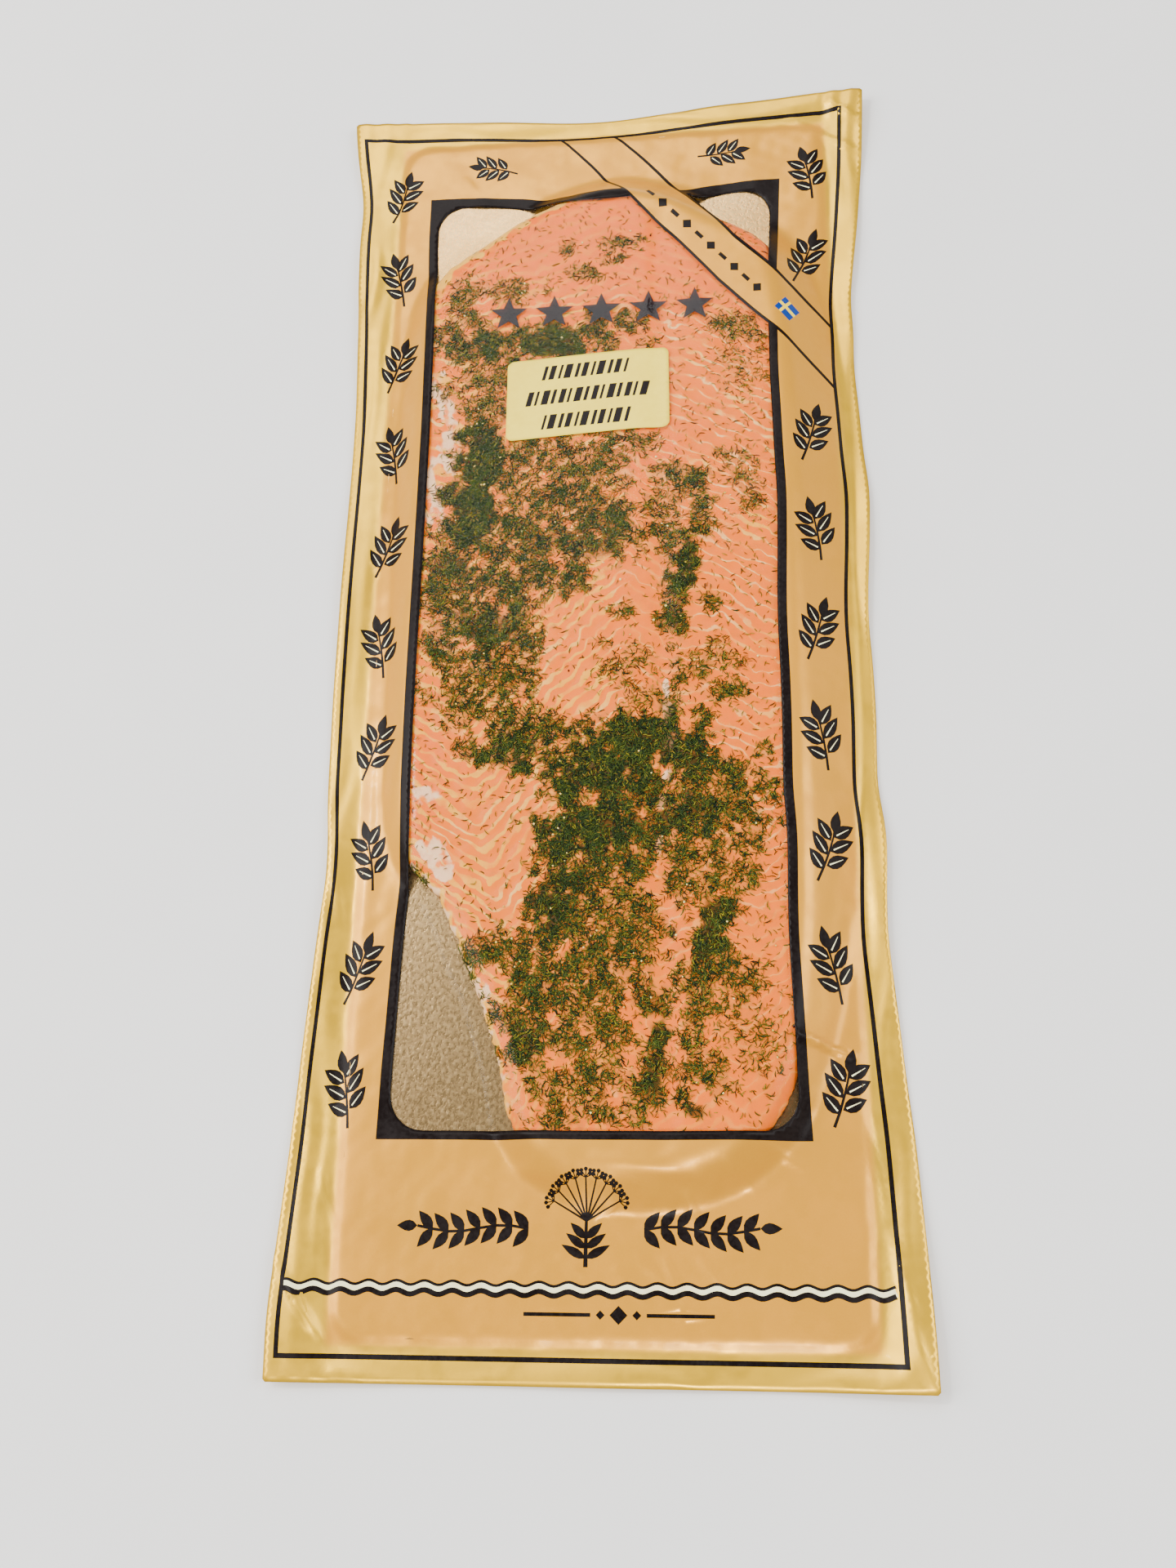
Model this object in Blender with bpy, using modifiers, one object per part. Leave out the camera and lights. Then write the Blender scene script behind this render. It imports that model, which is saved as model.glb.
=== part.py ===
"""A side of sliced gravlax under dill, on a foil-faced board, vacuum-sealed in a gold pouch with a clear window.

The pack lies flat on its back film with the shown side up. The frame has its origin under the middle of the pack,
+X to the shown side's right, +Y towards the neck end of the fish and +Z up. Units are metres.

The front film is printed, and its print is laid out flat. The vacuum draws the film in towards the fish, so a point of
the flat print lies a little nearer the middle on the pack: the function drawn_in gives that place.
"""

import math
import random

import bmesh
import bpy
import numpy as np
from mathutils import Matrix, Vector
from mathutils.bvhtree import BVHTree

MM = 0.001
TOUCH = 0.01 * MM
LEVEL = 0.001 * MM

# Pouch, as a flat bag
POUCH_WIDTH = 240 * MM
POUCH_LENGTH = 560 * MM
POUCH_CORNER = 1 * MM
FILM = 0.3 * MM
GAP = 0.3 * MM
SIDE_PULL = 10 * MM
SIDE_PULL_POWERS = (2, 6)
TOP_SAG = 8 * MM
TOP_SAG_POWER = 6
TOP_SAG_X = 22 * MM
TOP_SAG_REACH = 42 * MM
RIM_WAVE = 1.3 * MM
RIM_WIDTH = 14 * MM
RIM_WAVE_X = 17 * MM
RIM_WAVE_Y = 23 * MM
CORNER_CURL = 4.5 * MM
CORNER_REACH = 55 * MM
CORNER_SHARES = ((1, 1, 1.0), (-1, 1, 0.45), (1, -1, 0.7), (-1, -1, 0.35))
ABOVE_ALL = 100 * MM

# Board
BOARD_WIDTH = 192 * MM
BOARD_LENGTH = 528 * MM
BOARD_THICKNESS = 1.0 * MM
BOARD_X = 3 * MM
BOARD_Y = -1 * MM
BOARD_CORNER = 12 * MM
BOARD_MARGIN = 0.5 * MM
BOARD_BOTTOM = FILM + GAP
BOARD_TOP = BOARD_BOTTOM + BOARD_THICKNESS

# Clear window of the front film, in the flat print
WINDOW_LEFT = -76 * MM
WINDOW_RIGHT = 79 * MM
WINDOW_BOTTOM = -192.5 * MM
WINDOW_TOP = 223.5 * MM
WINDOW_CORNER = 15 * MM

# Fish
FISH_BOTTOM = BOARD_TOP + GAP
FISH_THICKNESS = 18 * MM
FISH_LEFT = -82 * MM
FISH_RIGHT = 89 * MM
BELLY_SHARE = 0.55
BACK_FROM = 0.72
TAIL_SHARE = 0.62
NECK_SHARE = 0.74
SHOULDER_Y = 85 * MM
TAIL_Y = -212 * MM
NECK_Y = 228 * MM
EDGE_SHARE = 0.22
EDGE_ROUND = 11 * MM
SEAM_X = 26.5 * MM
SEAM_DEPTH = 0.8 * MM
SEAM_WIDTH = 5 * MM
FISH_EDGE_STEPS = (2.2 * MM, 3.4 * MM, 5.4 * MM)

# Dill on the fish
DILL_PIECES = 150
DILL_LENGTH = (7 * MM, 14 * MM)
DILL_RADIUS = 0.65 * MM
DILL_TIP = 0.45
DILL_RISE = 0.3
DILL_MARGIN = 6 * MM
DILL_SEED = 41
FILM_OVER_FLESH = 1.5 * MM
FILM_SLOPE = 0.95
FILM_REACH = 2 * MM
SAMPLE_STEP = 4 * MM

# Rounds in which a sheet is raised off what lies under it, and how far it stays off
RAISE_ROUNDS = 4
CLEARANCE = 0.35 * MM

# Label
LABEL_WIDTH = 70 * MM
LABEL_LENGTH = 40 * MM
LABEL_X = -4.5 * MM
LABEL_Y = 113.5 * MM
LABEL_CORNER = 3 * MM
LABEL_THICKNESS = 0.25 * MM
LABEL_GAP = 0.4 * MM
LABEL_TURN = math.radians(0.6)

# Cells that the sheets are cut into
CELL_X = 11 * MM
CELL_Y = 15.5 * MM
CELLS_X = 11
CELLS_Y = 18

# Outline of the side of fish, as (x, y) in millimetres, clockwise from the neck
FISH_OUTLINE = (
    (2, 229), (28, 223), (52, 209), (74, 193), (84, 166), (88, 110), (89, 40), (89, -60), (86, -130), (77, -171),
    (66, -192), (48, -207), (18, -213), (-14, -209), (-30, -192), (-36, -168), (-45, -142), (-53, -124),
    (-62, -104), (-75, -89), (-81, -60), (-82, 40), (-82, 140), (-76, 183), (-54, 203), (-30, 219),
)

# Thick patches of dill, as (x, y, reach along x, reach along y) in millimetres
DILL_PATCHES = (
    (-47, 165, 22, 16), (-12, 150, 34, 15), (-52, 95, 13, 24), (-49, 55, 24, 20), (-2, 70, 30, 20),
    (-52, 10, 26, 18), (-30, -18, 18, 20), (38, 60, 14, 22), (6, -45, 34, 16), (40, -70, 26, 22),
    (-4, -85, 22, 22), (8, -118, 26, 16), (-16, -150, 20, 20), (44, -130, 13, 24), (28, -170, 30, 14),
)


def material(name, colour, roughness, metallic=0.0, alpha=1.0):
    """A plain finish with this colour, roughness, metallic value and opacity."""
    made = bpy.data.materials.new(name)
    made.use_nodes = True
    shader = made.node_tree.nodes["Principled BSDF"]
    shader.inputs["Base Color"].default_value = (*colour, 1.0)
    shader.inputs["Roughness"].default_value = roughness
    shader.inputs["Metallic"].default_value = metallic
    shader.inputs["Alpha"].default_value = alpha
    return made


def object_of(name, data, collection, finish=None):
    """An object of this mesh or curve, linked to the collection, with its finish."""
    made = bpy.data.objects.new(name, data)
    collection.objects.link(made)
    if finish:
        data.materials.clear()
        data.materials.append(finish)
    return made


def mesh_of(obj):
    """The object as its modifiers leave it, as a new mesh in its own place."""
    graph = bpy.context.evaluated_depsgraph_get()
    mesh = bpy.data.meshes.new_from_object(obj.evaluated_get(graph))
    mesh.transform(obj.matrix_world)
    return mesh


def prism(name, outline, height, collection, finish=None):
    """An upright prism about z = 0, as a filled flat curve with an extrusion."""
    curve = bpy.data.curves.new(name, "CURVE")
    curve.dimensions = "2D"
    curve.fill_mode = "BOTH"
    curve.extrude = height / 2
    spline = curve.splines.new("POLY")
    spline.points.add(len(outline) - 1)
    for point, (x, y) in zip(spline.points, outline):
        point.co = (x, y, 0.0, 1.0)
    spline.use_cyclic_u = True
    return object_of(name, curve, collection, finish)


def flat_face(outline):
    """A flat outline as one face looking up."""
    bm = bmesh.new()
    bm.faces.new([bm.verts.new((x, y, 0.0)) for x, y in outline])
    return bm


def rounded_rectangle(left, right, bottom, top, radius, side_steps=1, arc_steps=6):
    """Points round a rectangle with round corners, anticlockwise, with each side and arc in so many steps."""
    corners = (
        (right - radius, bottom + radius, -90), (right - radius, top - radius, 0),
        (left + radius, top - radius, 90), (left + radius, bottom + radius, 180),
    )
    points = []
    for x, y, start in corners:
        arc = [
            (x + radius * math.cos(math.radians(start + 90 * step / arc_steps)),
             y + radius * math.sin(math.radians(start + 90 * step / arc_steps)))
            for step in range(arc_steps + 1)
        ]
        if points:
            points += between(points[-1], arc[0], side_steps)
        points += arc
    return points + between(points[-1], points[0], side_steps)


def between(start, end, steps):
    """The points that part the way from start to end into this many equal steps, without its ends."""
    return [
        (start[0] + (end[0] - start[0]) * step / steps, start[1] + (end[1] - start[1]) * step / steps)
        for step in range(1, steps)
    ]


def smooth_closed(points, steps=3):
    """A closed Catmull-Rom curve through the points, with this many steps from each to the next."""
    count = len(points)
    curve = []
    for number in range(count):
        before, start, end, after = (np.array(points[(number + k) % count], float) for k in (-1, 0, 1, 2))
        for step in range(steps):
            t = step / steps
            curve.append(tuple(
                0.5 * (2 * start + (end - before) * t + (2 * before - 5 * start + 4 * end - after) * t ** 2
                       + (3 * start - before - 3 * end + after) * t ** 3)
            ))
    return curve


def smoothstep(low, high, value):
    """0 up to low, 1 from high on, with a smooth rise between."""
    t = np.clip((np.asarray(value, float) - low) / (high - low), 0, 1)
    return t * t * (3 - 2 * t)


def drawn_in(u, v):
    """The place (x, y) on the pack of a point of the flat pouch, once the vacuum has drawn the film in."""
    half_width, half_length = POUCH_WIDTH / 2, POUCH_LENGTH / 2
    lower_power, upper_power = SIDE_PULL_POWERS
    bump = max(0.0, 1 - abs(v / half_length) ** (upper_power if v > 0 else lower_power))
    x = u - math.copysign(SIDE_PULL * bump * (u / half_width) ** 2, u)
    sag = math.exp(-(((u - TOP_SAG_X) / TOP_SAG_REACH) ** 2))
    y = v - (TOP_SAG * sag * (v / half_length) ** TOP_SAG_POWER if v > 0 else 0.0)
    return x, y


def distance_to(outline, x, y):
    """Distance from each point to the closed outline, positive inside it."""
    start = np.array(outline, float)
    end = np.roll(start, -1, axis=0)
    along = end - start
    place = np.stack([np.atleast_1d(x), np.atleast_1d(y)], axis=1)
    offset = place[:, None, :] - start[None]
    share = np.clip((offset * along).sum(2) / (along ** 2).sum(1), 0, 1)
    nearest = np.linalg.norm(offset - share[..., None] * along, axis=2).min(axis=1)
    crosses = (start[:, 1] > place[:, 1:2]) != (end[:, 1] > place[:, 1:2])
    rise = np.where(along[:, 1] == 0, 1.0, along[:, 1])
    left = place[:, 0:1] < start[:, 0] + (place[:, 1:2] - start[:, 1]) * along[:, 0] / rise
    inside = (crosses & left).sum(axis=1) % 2 == 1
    return np.where(inside, nearest, -nearest)


POUCH_OUTLINE = [
    drawn_in(u, v)
    for u, v in rounded_rectangle(
        -POUCH_WIDTH / 2, POUCH_WIDTH / 2, -POUCH_LENGTH / 2, POUCH_LENGTH / 2, POUCH_CORNER, 16, 1
    )
]
BOARD_OUTLINE = rounded_rectangle(
    BOARD_X - BOARD_WIDTH / 2, BOARD_X + BOARD_WIDTH / 2, BOARD_Y - BOARD_LENGTH / 2, BOARD_Y + BOARD_LENGTH / 2,
    BOARD_CORNER,
)
WINDOW_OUTLINE = [
    drawn_in(u, v)
    for u, v in rounded_rectangle(
        WINDOW_LEFT, WINDOW_RIGHT, WINDOW_BOTTOM, WINDOW_TOP, WINDOW_CORNER, side_steps=12
    )
]
FISH_EDGE = smooth_closed([(x * MM, y * MM) for x, y in FISH_OUTLINE])


def flesh_height(x, y):
    """Height of the fish's top face over its underside: thin at the belly on the left, thick along the back."""
    x, y = np.atleast_1d(x), np.atleast_1d(y)
    inside = distance_to(FISH_EDGE, x, y)
    across = (x - FISH_LEFT) / (FISH_RIGHT - FISH_LEFT)
    cross = BELLY_SHARE + (1 - BELLY_SHARE) * smoothstep(0, BACK_FROM, across)
    to_tail = 1 - (1 - TAIL_SHARE) * smoothstep(SHOULDER_Y, TAIL_Y, y)
    to_neck = 1 - (1 - NECK_SHARE) * smoothstep(SHOULDER_Y, NECK_Y, y)
    rounded = np.sqrt(1 - (1 - np.clip(inside / EDGE_ROUND, 0, 1)) ** 2)
    edge = EDGE_SHARE + (1 - EDGE_SHARE) * rounded
    seam = SEAM_DEPTH * np.exp(-(((x - SEAM_X) / SEAM_WIDTH) ** 2)) * (inside > EDGE_ROUND)
    return FISH_THICKNESS * cross * to_tail * to_neck * edge - seam


def rim_lift(x, y):
    """How far the sealed rim stands off the ground outside the board, with soft waves and curled corners."""
    x, y = np.atleast_1d(x), np.atleast_1d(y)
    past_side = np.maximum(np.abs(x - BOARD_X) - BOARD_WIDTH / 2 - BOARD_MARGIN, 0)
    past_end = np.maximum(np.abs(y - BOARD_Y) - BOARD_LENGTH / 2 - BOARD_MARGIN, 0)
    share = smoothstep(0, RIM_WIDTH, np.hypot(past_side, past_end))
    wave = RIM_WAVE * (1 + np.sin(x / RIM_WAVE_X + 1) * np.sin(y / RIM_WAVE_Y))
    curl = np.zeros_like(x)
    for side, end, much in CORNER_SHARES:
        corner = np.hypot(x - side * POUCH_WIDTH / 2, y - end * POUCH_LENGTH / 2)
        curl += much * CORNER_CURL * smoothstep(CORNER_REACH, 0, corner)
    return share * (wave + curl)


def drape_samples():
    """Points on the board and the fish that hold the front film up, with the height that the film has over each."""
    xs = np.arange(-POUCH_WIDTH / 2, POUCH_WIDTH / 2, SAMPLE_STEP)
    ys = np.arange(-POUCH_LENGTH / 2, POUCH_LENGTH / 2, SAMPLE_STEP)
    x, y = (a.ravel() for a in np.meshgrid(xs, ys))
    fish = distance_to(FISH_EDGE, x, y) > 0
    board = ~fish & (distance_to(BOARD_OUTLINE, x, y) > 0)
    height = np.full(len(x), -1.0)
    height[board] = BOARD_TOP + GAP
    height[fish] = FISH_BOTTOM + flesh_height(x[fish], y[fish]) + FILM_OVER_FLESH
    kept = height > 0
    return x[kept], y[kept], height[kept]


DRAPE_X, DRAPE_Y, DRAPE_Z = drape_samples()


def front_height(x, y):
    """Height of the front film's underside: on the rim, or stretched straight down from what holds it up."""
    x, y = np.atleast_1d(x), np.atleast_1d(y)
    away = np.hypot(x[:, None] - DRAPE_X, y[:, None] - DRAPE_Y)
    stretched = (DRAPE_Z - FILM_SLOPE * away).max(axis=1)
    fish = distance_to(FISH_EDGE, x, y) > -FILM_REACH
    over_fish = FISH_BOTTOM + flesh_height(x, y) + FILM_OVER_FLESH
    board = distance_to(BOARD_OUTLINE, x, y) > -FILM_REACH
    return np.maximum.reduce([
        stretched, np.where(fish, over_fish, 0), np.where(board, BOARD_TOP + GAP, 0), rim_lift(x, y) + FILM + GAP,
    ])


def cut_in_cells(bm):
    """Cuts every face along the lines of the sheets' cells and along the board's edges."""
    lines = [((number * CELL_X, 0, 0), (1, 0, 0)) for number in range(-CELLS_X, CELLS_X + 1)]
    lines += [((0, number * CELL_Y, 0), (0, 1, 0)) for number in range(-CELLS_Y, CELLS_Y + 1)]
    for side in (-1, 1):
        lines.append(((BOARD_X + side * (BOARD_WIDTH / 2 + BOARD_MARGIN), 0, 0), (1, 0, 0)))
        lines.append(((0, BOARD_Y + side * (BOARD_LENGTH / 2 + BOARD_MARGIN), 0), (0, 1, 0)))
    for place, normal in lines:
        geometry = bm.verts[:] + bm.edges[:] + bm.faces[:]
        bmesh.ops.bisect_plane(bm, geom=geometry, dist=5 * TOUCH, plane_co=place, plane_no=normal)


def raise_to(bm, verts, height):
    """Puts the vertices at the height that the function gives for their places."""
    x, y = (np.array([vert.co[axis] for vert in verts]) for axis in (0, 1))
    for vert, z in zip(verts, height(x, y)):
        vert.co.z = z


def merge_level(bm, height):
    """Merges the neighbouring faces that all lie level at this height."""
    level = {face for face in bm.faces if all(abs(vert.co.z - height) < LEVEL for vert in face.verts)}
    edges = {edge for face in level for edge in face.edges if all(other in level for other in edge.link_faces)}
    bmesh.ops.dissolve_limit(bm, angle_limit=0.001, verts=[], edges=list(edges))


def sheet_mesh(name, outline, height):
    """A thin sheet of this outline, cut in cells and laid at the height that the function gives."""
    bm = flat_face(outline)
    cut_in_cells(bm)
    raise_to(bm, bm.verts[:], height)
    merge_level(bm, 0.0)
    bmesh.ops.triangulate(bm, faces=bm.faces)
    mesh = bpy.data.meshes.new(name)
    bm.to_mesh(mesh)
    bm.free()
    mesh.shade_smooth()
    return mesh


def seen_from_above(tree, point):
    """Where a plumb line through the point meets the tree's faces from above, with the number of the face."""
    hit, _, number, _ = tree.ray_cast((point.x, point.y, ABOVE_ALL), (0, 0, -1))
    return hit, number


def keep_above(mesh, lower, clearance):
    """Raises a sheet wherever it lies less than this far over the objects under it."""
    bm = bmesh.new()
    bm.from_mesh(mesh)
    bm.faces.ensure_lookup_table()
    points, trees = [], []
    for part in lower:
        below = mesh_of(part)
        points += [vert.co.copy() for vert in below.vertices]
        trees.append(BVHTree.FromPolygons([v.co for v in below.vertices], [p.vertices for p in below.polygons]))
    for vert in bm.verts:
        hits = [seen_from_above(tree, vert.co)[0] for tree in trees]
        vert.co.z = max([vert.co.z] + [hit.z + clearance for hit in hits if hit])
    for _ in range(RAISE_ROUNDS):
        sheet = BVHTree.FromBMesh(bm)
        for point in points:
            hit, number = seen_from_above(sheet, point)
            short = point.z + clearance - hit.z if hit else 0.0
            if short > 0:
                for vert in bm.faces[number].verts:
                    vert.co.z += short
    bm.to_mesh(mesh)
    bm.free()


def thicken(obj, thickness):
    """Gives a sheet its thickness, upwards from where it lies."""
    solid = obj.modifiers.new("thickness", "SOLIDIFY")
    solid.thickness = thickness
    solid.offset = 1.0


def cutter(name, outline, collection):
    """A welded upright prism of this outline, taller than the pack, that only cuts."""
    curve = prism(name, outline, 2 * ABOVE_ALL, collection)
    bm = bmesh.new()
    bm.from_mesh(mesh_of(curve))
    bpy.data.objects.remove(curve)
    bmesh.ops.remove_doubles(bm, verts=bm.verts, dist=TOUCH)
    mesh = bpy.data.meshes.new(name)
    bm.to_mesh(mesh)
    bm.free()
    made = object_of(name, mesh, collection)
    made.hide_render = True
    made.display_type = "WIRE"
    return made


def shrunk(outline, margin):
    """The outline moved inwards by the margin, by the normals at its points."""
    points = np.array(outline)
    along = np.roll(points, -1, axis=0) - np.roll(points, 1, axis=0)
    along /= np.linalg.norm(along, axis=1)[:, None]
    return [tuple(p) for p in points + margin * np.stack([-along[:, 1], along[:, 0]], axis=1)]


def build_back_film(parts, finish):
    """The pouch's back sheet, flat under the board, with its rim standing off the ground."""
    mesh = sheet_mesh("back_film", POUCH_OUTLINE, rim_lift)
    film = object_of("back_film", mesh, parts, finish)
    thicken(film, FILM)
    return film


def build_board(parts, finish):
    """The foil-faced card that the fish lies on."""
    board = prism("board", BOARD_OUTLINE, BOARD_THICKNESS, parts, finish)
    board.location.z = BOARD_BOTTOM + BOARD_THICKNESS / 2
    return board


def build_front_film(parts, cutters, printed, clear, contents):
    """The pouch's front sheet, as the printed film round the window and the clear film in it."""
    sheet = sheet_mesh("front_film", POUCH_OUTLINE, front_height)
    keep_above(sheet, contents, CLEARANCE)
    hole = cutter("window_hole", WINDOW_OUTLINE, cutters)
    pane = cutter("window_pane", shrunk(WINDOW_OUTLINE, GAP), cutters)
    jobs = (("front_film", printed, hole, "DIFFERENCE"), ("window_film", clear, pane, "INTERSECT"))
    for name, finish, tool, operation in jobs:
        film = object_of(name, sheet.copy(), parts, finish)
        thicken(film, FILM)
        cut = film.modifiers.new("window", "BOOLEAN")
        cut.operation = operation
        cut.object = tool
    return film


def fish_body(collection, finish):
    """The side of fish without its dill: a flat underside and a top that swells from the edge."""
    bm = flat_face(FISH_EDGE)
    for step in FISH_EDGE_STEPS:
        inner = max(bm.faces, key=lambda face: face.calc_area())
        bmesh.ops.inset_region(bm, faces=[inner], thickness=step, use_even_offset=True)
    cut_in_cells(bm)
    lower = bm.faces[:]
    raised = bmesh.ops.extrude_face_region(bm, geom=lower)["geom"]
    top = [item for item in raised if isinstance(item, bmesh.types.BMVert)]
    raise_to(bm, top, lambda x, y: FISH_BOTTOM + flesh_height(x, y))
    base = list(set(bm.verts) - set(top))
    for vert in base:
        vert.co.z = FISH_BOTTOM
    merge_level(bm, FISH_BOTTOM)
    bmesh.ops.triangulate(bm, faces=bm.faces)
    bmesh.ops.recalc_face_normals(bm, faces=bm.faces)
    mesh = bpy.data.meshes.new("gravlax_side")
    bm.to_mesh(mesh)
    bm.free()
    return object_of("gravlax_side", mesh, collection, finish)


def dill_places(draw):
    """Where each piece of dill lies and how it is turned: most in the thick patches, largest first."""
    places = []
    total = sum(reach_x * reach_y for _, _, reach_x, reach_y in DILL_PATCHES)
    for x, y, reach_x, reach_y in DILL_PATCHES:
        for _ in range(round(DILL_PIECES * reach_x * reach_y / total)):
            angle, far = draw.uniform(0, math.tau), math.sqrt(draw.random())
            place = ((x + reach_x * far * math.cos(angle)) * MM, (y + reach_y * far * math.sin(angle)) * MM)
            places.append((*place, draw.uniform(0, math.pi), draw.uniform(*DILL_LENGTH)))
    places.sort(key=lambda place: -place[3])
    return [p for p in places if distance_to(FISH_EDGE, p[0], p[1])[0] > DILL_MARGIN]


def frond_axis(tree, x, y, turn, length):
    """The two ends of a frond laid on the flesh: sunk by half where it would stand off it, or None off the fish."""
    half = Vector((math.cos(turn), math.sin(turn))) * length / 2
    places = [Vector((x, y)) + half * side for side in (-1, 0, 1)]
    hits = [tree.ray_cast((*place, ABOVE_ALL), (0, 0, -1))[0] for place in places]
    if None in hits:
        return None
    start, middle, end = hits
    sink = max(0.0, (start.z + end.z) / 2 - middle.z)
    lift = Vector((0, 0, DILL_RISE * DILL_RADIUS - sink))
    return start + lift, end + lift


def add_dill(fish):
    """Fuses the dill fronds to the top of the fish by one union."""
    fronds = bpy.data.collections.new("dill")
    bpy.context.scene.collection.children.link(fronds)
    draw = random.Random(DILL_SEED)
    body = bmesh.new()
    body.from_mesh(fish.data)
    tree = BVHTree.FromBMesh(body)
    body.free()
    for x, y, turn, length in dill_places(draw):
        ends = frond_axis(tree, x, y, turn, length)
        if ends is None:
            continue
        start, end = ends
        along = end - start
        mesh = bpy.data.meshes.new("frond")
        bm = bmesh.new()
        bmesh.ops.create_cone(
            bm, cap_ends=True, segments=4, radius1=DILL_RADIUS, radius2=DILL_TIP * DILL_RADIUS, depth=along.length
        )
        lying = along.to_track_quat("Z", "Y").to_matrix().to_4x4() @ Matrix.Rotation(math.pi / 4, 4, "Z")
        bmesh.ops.transform(bm, matrix=Matrix.Translation((start + end) / 2) @ lying, verts=bm.verts)
        bm.to_mesh(mesh)
        bm.free()
        object_of("frond", mesh, fronds)
    union = fish.modifiers.new("dill", "BOOLEAN")
    union.operation = "UNION"
    union.operand_type = "COLLECTION"
    union.collection = fronds
    fish.data = mesh_of(fish)
    fish.modifiers.clear()
    for frond in list(fronds.objects):
        bpy.data.objects.remove(frond)
    bpy.data.collections.remove(fronds)
    return fish


def build_label(parts, finish, window):
    """The paper label stuck on the window film."""
    turn = Matrix.Rotation(LABEL_TURN, 2)
    corners = rounded_rectangle(
        -LABEL_WIDTH / 2, LABEL_WIDTH / 2, -LABEL_LENGTH / 2, LABEL_LENGTH / 2, LABEL_CORNER, 1, 3
    )
    outline = [tuple(turn @ Vector(point) + Vector((LABEL_X, LABEL_Y))) for point in corners]
    mesh = sheet_mesh("label", outline, lambda x, y: front_height(x, y) + FILM + LABEL_GAP)
    keep_above(mesh, [window], CLEARANCE)
    label = object_of("label", mesh, parts, finish)
    thicken(label, LABEL_THICKNESS)


def main():
    """Clears the scene and builds the pack from the ground up."""
    for obj in list(bpy.data.objects):
        bpy.data.objects.remove(obj)
    parts = bpy.data.collections.new("gravlax_pack")
    cutters = bpy.data.collections.new("cutters")
    for collection in (parts, cutters):
        bpy.context.scene.collection.children.link(collection)
    gold = material("gold_film", (0.60, 0.42, 0.16), 0.35, metallic=0.3)
    back = material("back_gold_film", (0.55, 0.38, 0.15), 0.4, metallic=0.3)
    clear = material("clear_film", (0.95, 0.94, 0.90), 0.1, alpha=0.2)
    foil = material("foil_board", (0.50, 0.45, 0.36), 0.35, metallic=0.6)
    salmon = material("cured_salmon", (0.86, 0.34, 0.17), 0.35)
    paper = material("label_paper", (0.84, 0.74, 0.38), 0.55)
    rear = build_back_film(parts, back)
    board = build_board(parts, foil)
    fish = add_dill(fish_body(parts, salmon))
    window = build_front_film(parts, cutters, gold, clear, (rear, board, fish))
    build_label(parts, paper, window)


main()
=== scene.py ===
"""Looks of a vacuum-packed side of gravlax.

A gold printed pouch with a clear window holds sliced fish under dill on a foil-faced board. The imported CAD
part is the frame. Lengths are in millimetres until a mesh is made, and meshes are in metres. The print of the
front film is laid out on the flat pouch, in (u, v), and the vacuum draws each of its points in to (x, y).
"""

import logging
import math
from dataclasses import dataclass, field
from enum import IntEnum
from typing import Any, Sequence

import bmesh
import bpy
import numpy as np
from mathutils import Matrix, Vector
from mathutils.geometry import delaunay_2d_cdt


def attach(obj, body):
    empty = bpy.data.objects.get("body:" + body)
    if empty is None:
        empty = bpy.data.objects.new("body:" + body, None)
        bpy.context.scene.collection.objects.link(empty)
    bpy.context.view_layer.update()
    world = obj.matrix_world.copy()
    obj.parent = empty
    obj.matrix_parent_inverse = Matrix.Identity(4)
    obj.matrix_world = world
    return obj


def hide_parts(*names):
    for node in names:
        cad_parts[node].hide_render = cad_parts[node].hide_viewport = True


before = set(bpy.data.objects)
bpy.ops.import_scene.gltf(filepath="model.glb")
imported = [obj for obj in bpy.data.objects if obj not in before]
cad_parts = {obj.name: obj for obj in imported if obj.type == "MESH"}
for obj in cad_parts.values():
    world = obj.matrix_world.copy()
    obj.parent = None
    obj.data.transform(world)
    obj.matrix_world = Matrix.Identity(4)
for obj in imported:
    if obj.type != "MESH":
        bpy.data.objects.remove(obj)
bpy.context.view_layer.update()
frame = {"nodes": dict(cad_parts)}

LOG = logging.getLogger("gravlax_pack")
MM = 0.001
BODY = "root"

Point = tuple[float, float]
Outline = list[Point]
Colour = tuple[float, float, float, float]
Array = np.ndarray


# Shapes and numbers


def smoothstep(low: float, high: float, value: Any) -> Array:
    """0 up to low, 1 from high on, with a smooth rise between."""
    t = np.clip((np.asarray(value, float) - low) / (high - low), 0, 1)
    return t * t * (3 - 2 * t)


def smooth_closed(points: Sequence[Point], steps: int = 3) -> Outline:
    """A closed Catmull-Rom curve through the points, with this many steps from each to the next."""
    count = len(points)
    curve: Outline = []
    for number in range(count):
        before, start, end, after = (np.array(points[(number + k) % count], float) for k in (-1, 0, 1, 2))
        for step in range(steps):
            t = step / steps
            curve.append(tuple(
                0.5 * (2 * start + (end - before) * t + (2 * before - 5 * start + 4 * end - after) * t ** 2
                       + (3 * start - before - 3 * end + after) * t ** 3)
            ))
    return curve


def rectangle(
    left: float, right: float, bottom: float, top: float, radius: float = 0.0, arc: int = 8,
) -> Outline:
    """Points round a rectangle, anticlockwise, with round corners where a radius is given."""
    if radius == 0:
        return [(left, bottom), (right, bottom), (right, top), (left, top)]
    corners = (
        (right - radius, bottom + radius, -90), (right - radius, top - radius, 0),
        (left + radius, top - radius, 90), (left + radius, bottom + radius, 180),
    )
    return [
        (x + radius * math.cos(math.radians(start + 90 * step / arc)),
         y + radius * math.sin(math.radians(start + 90 * step / arc)))
        for x, y, start in corners for step in range(arc + 1)
    ]


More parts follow.
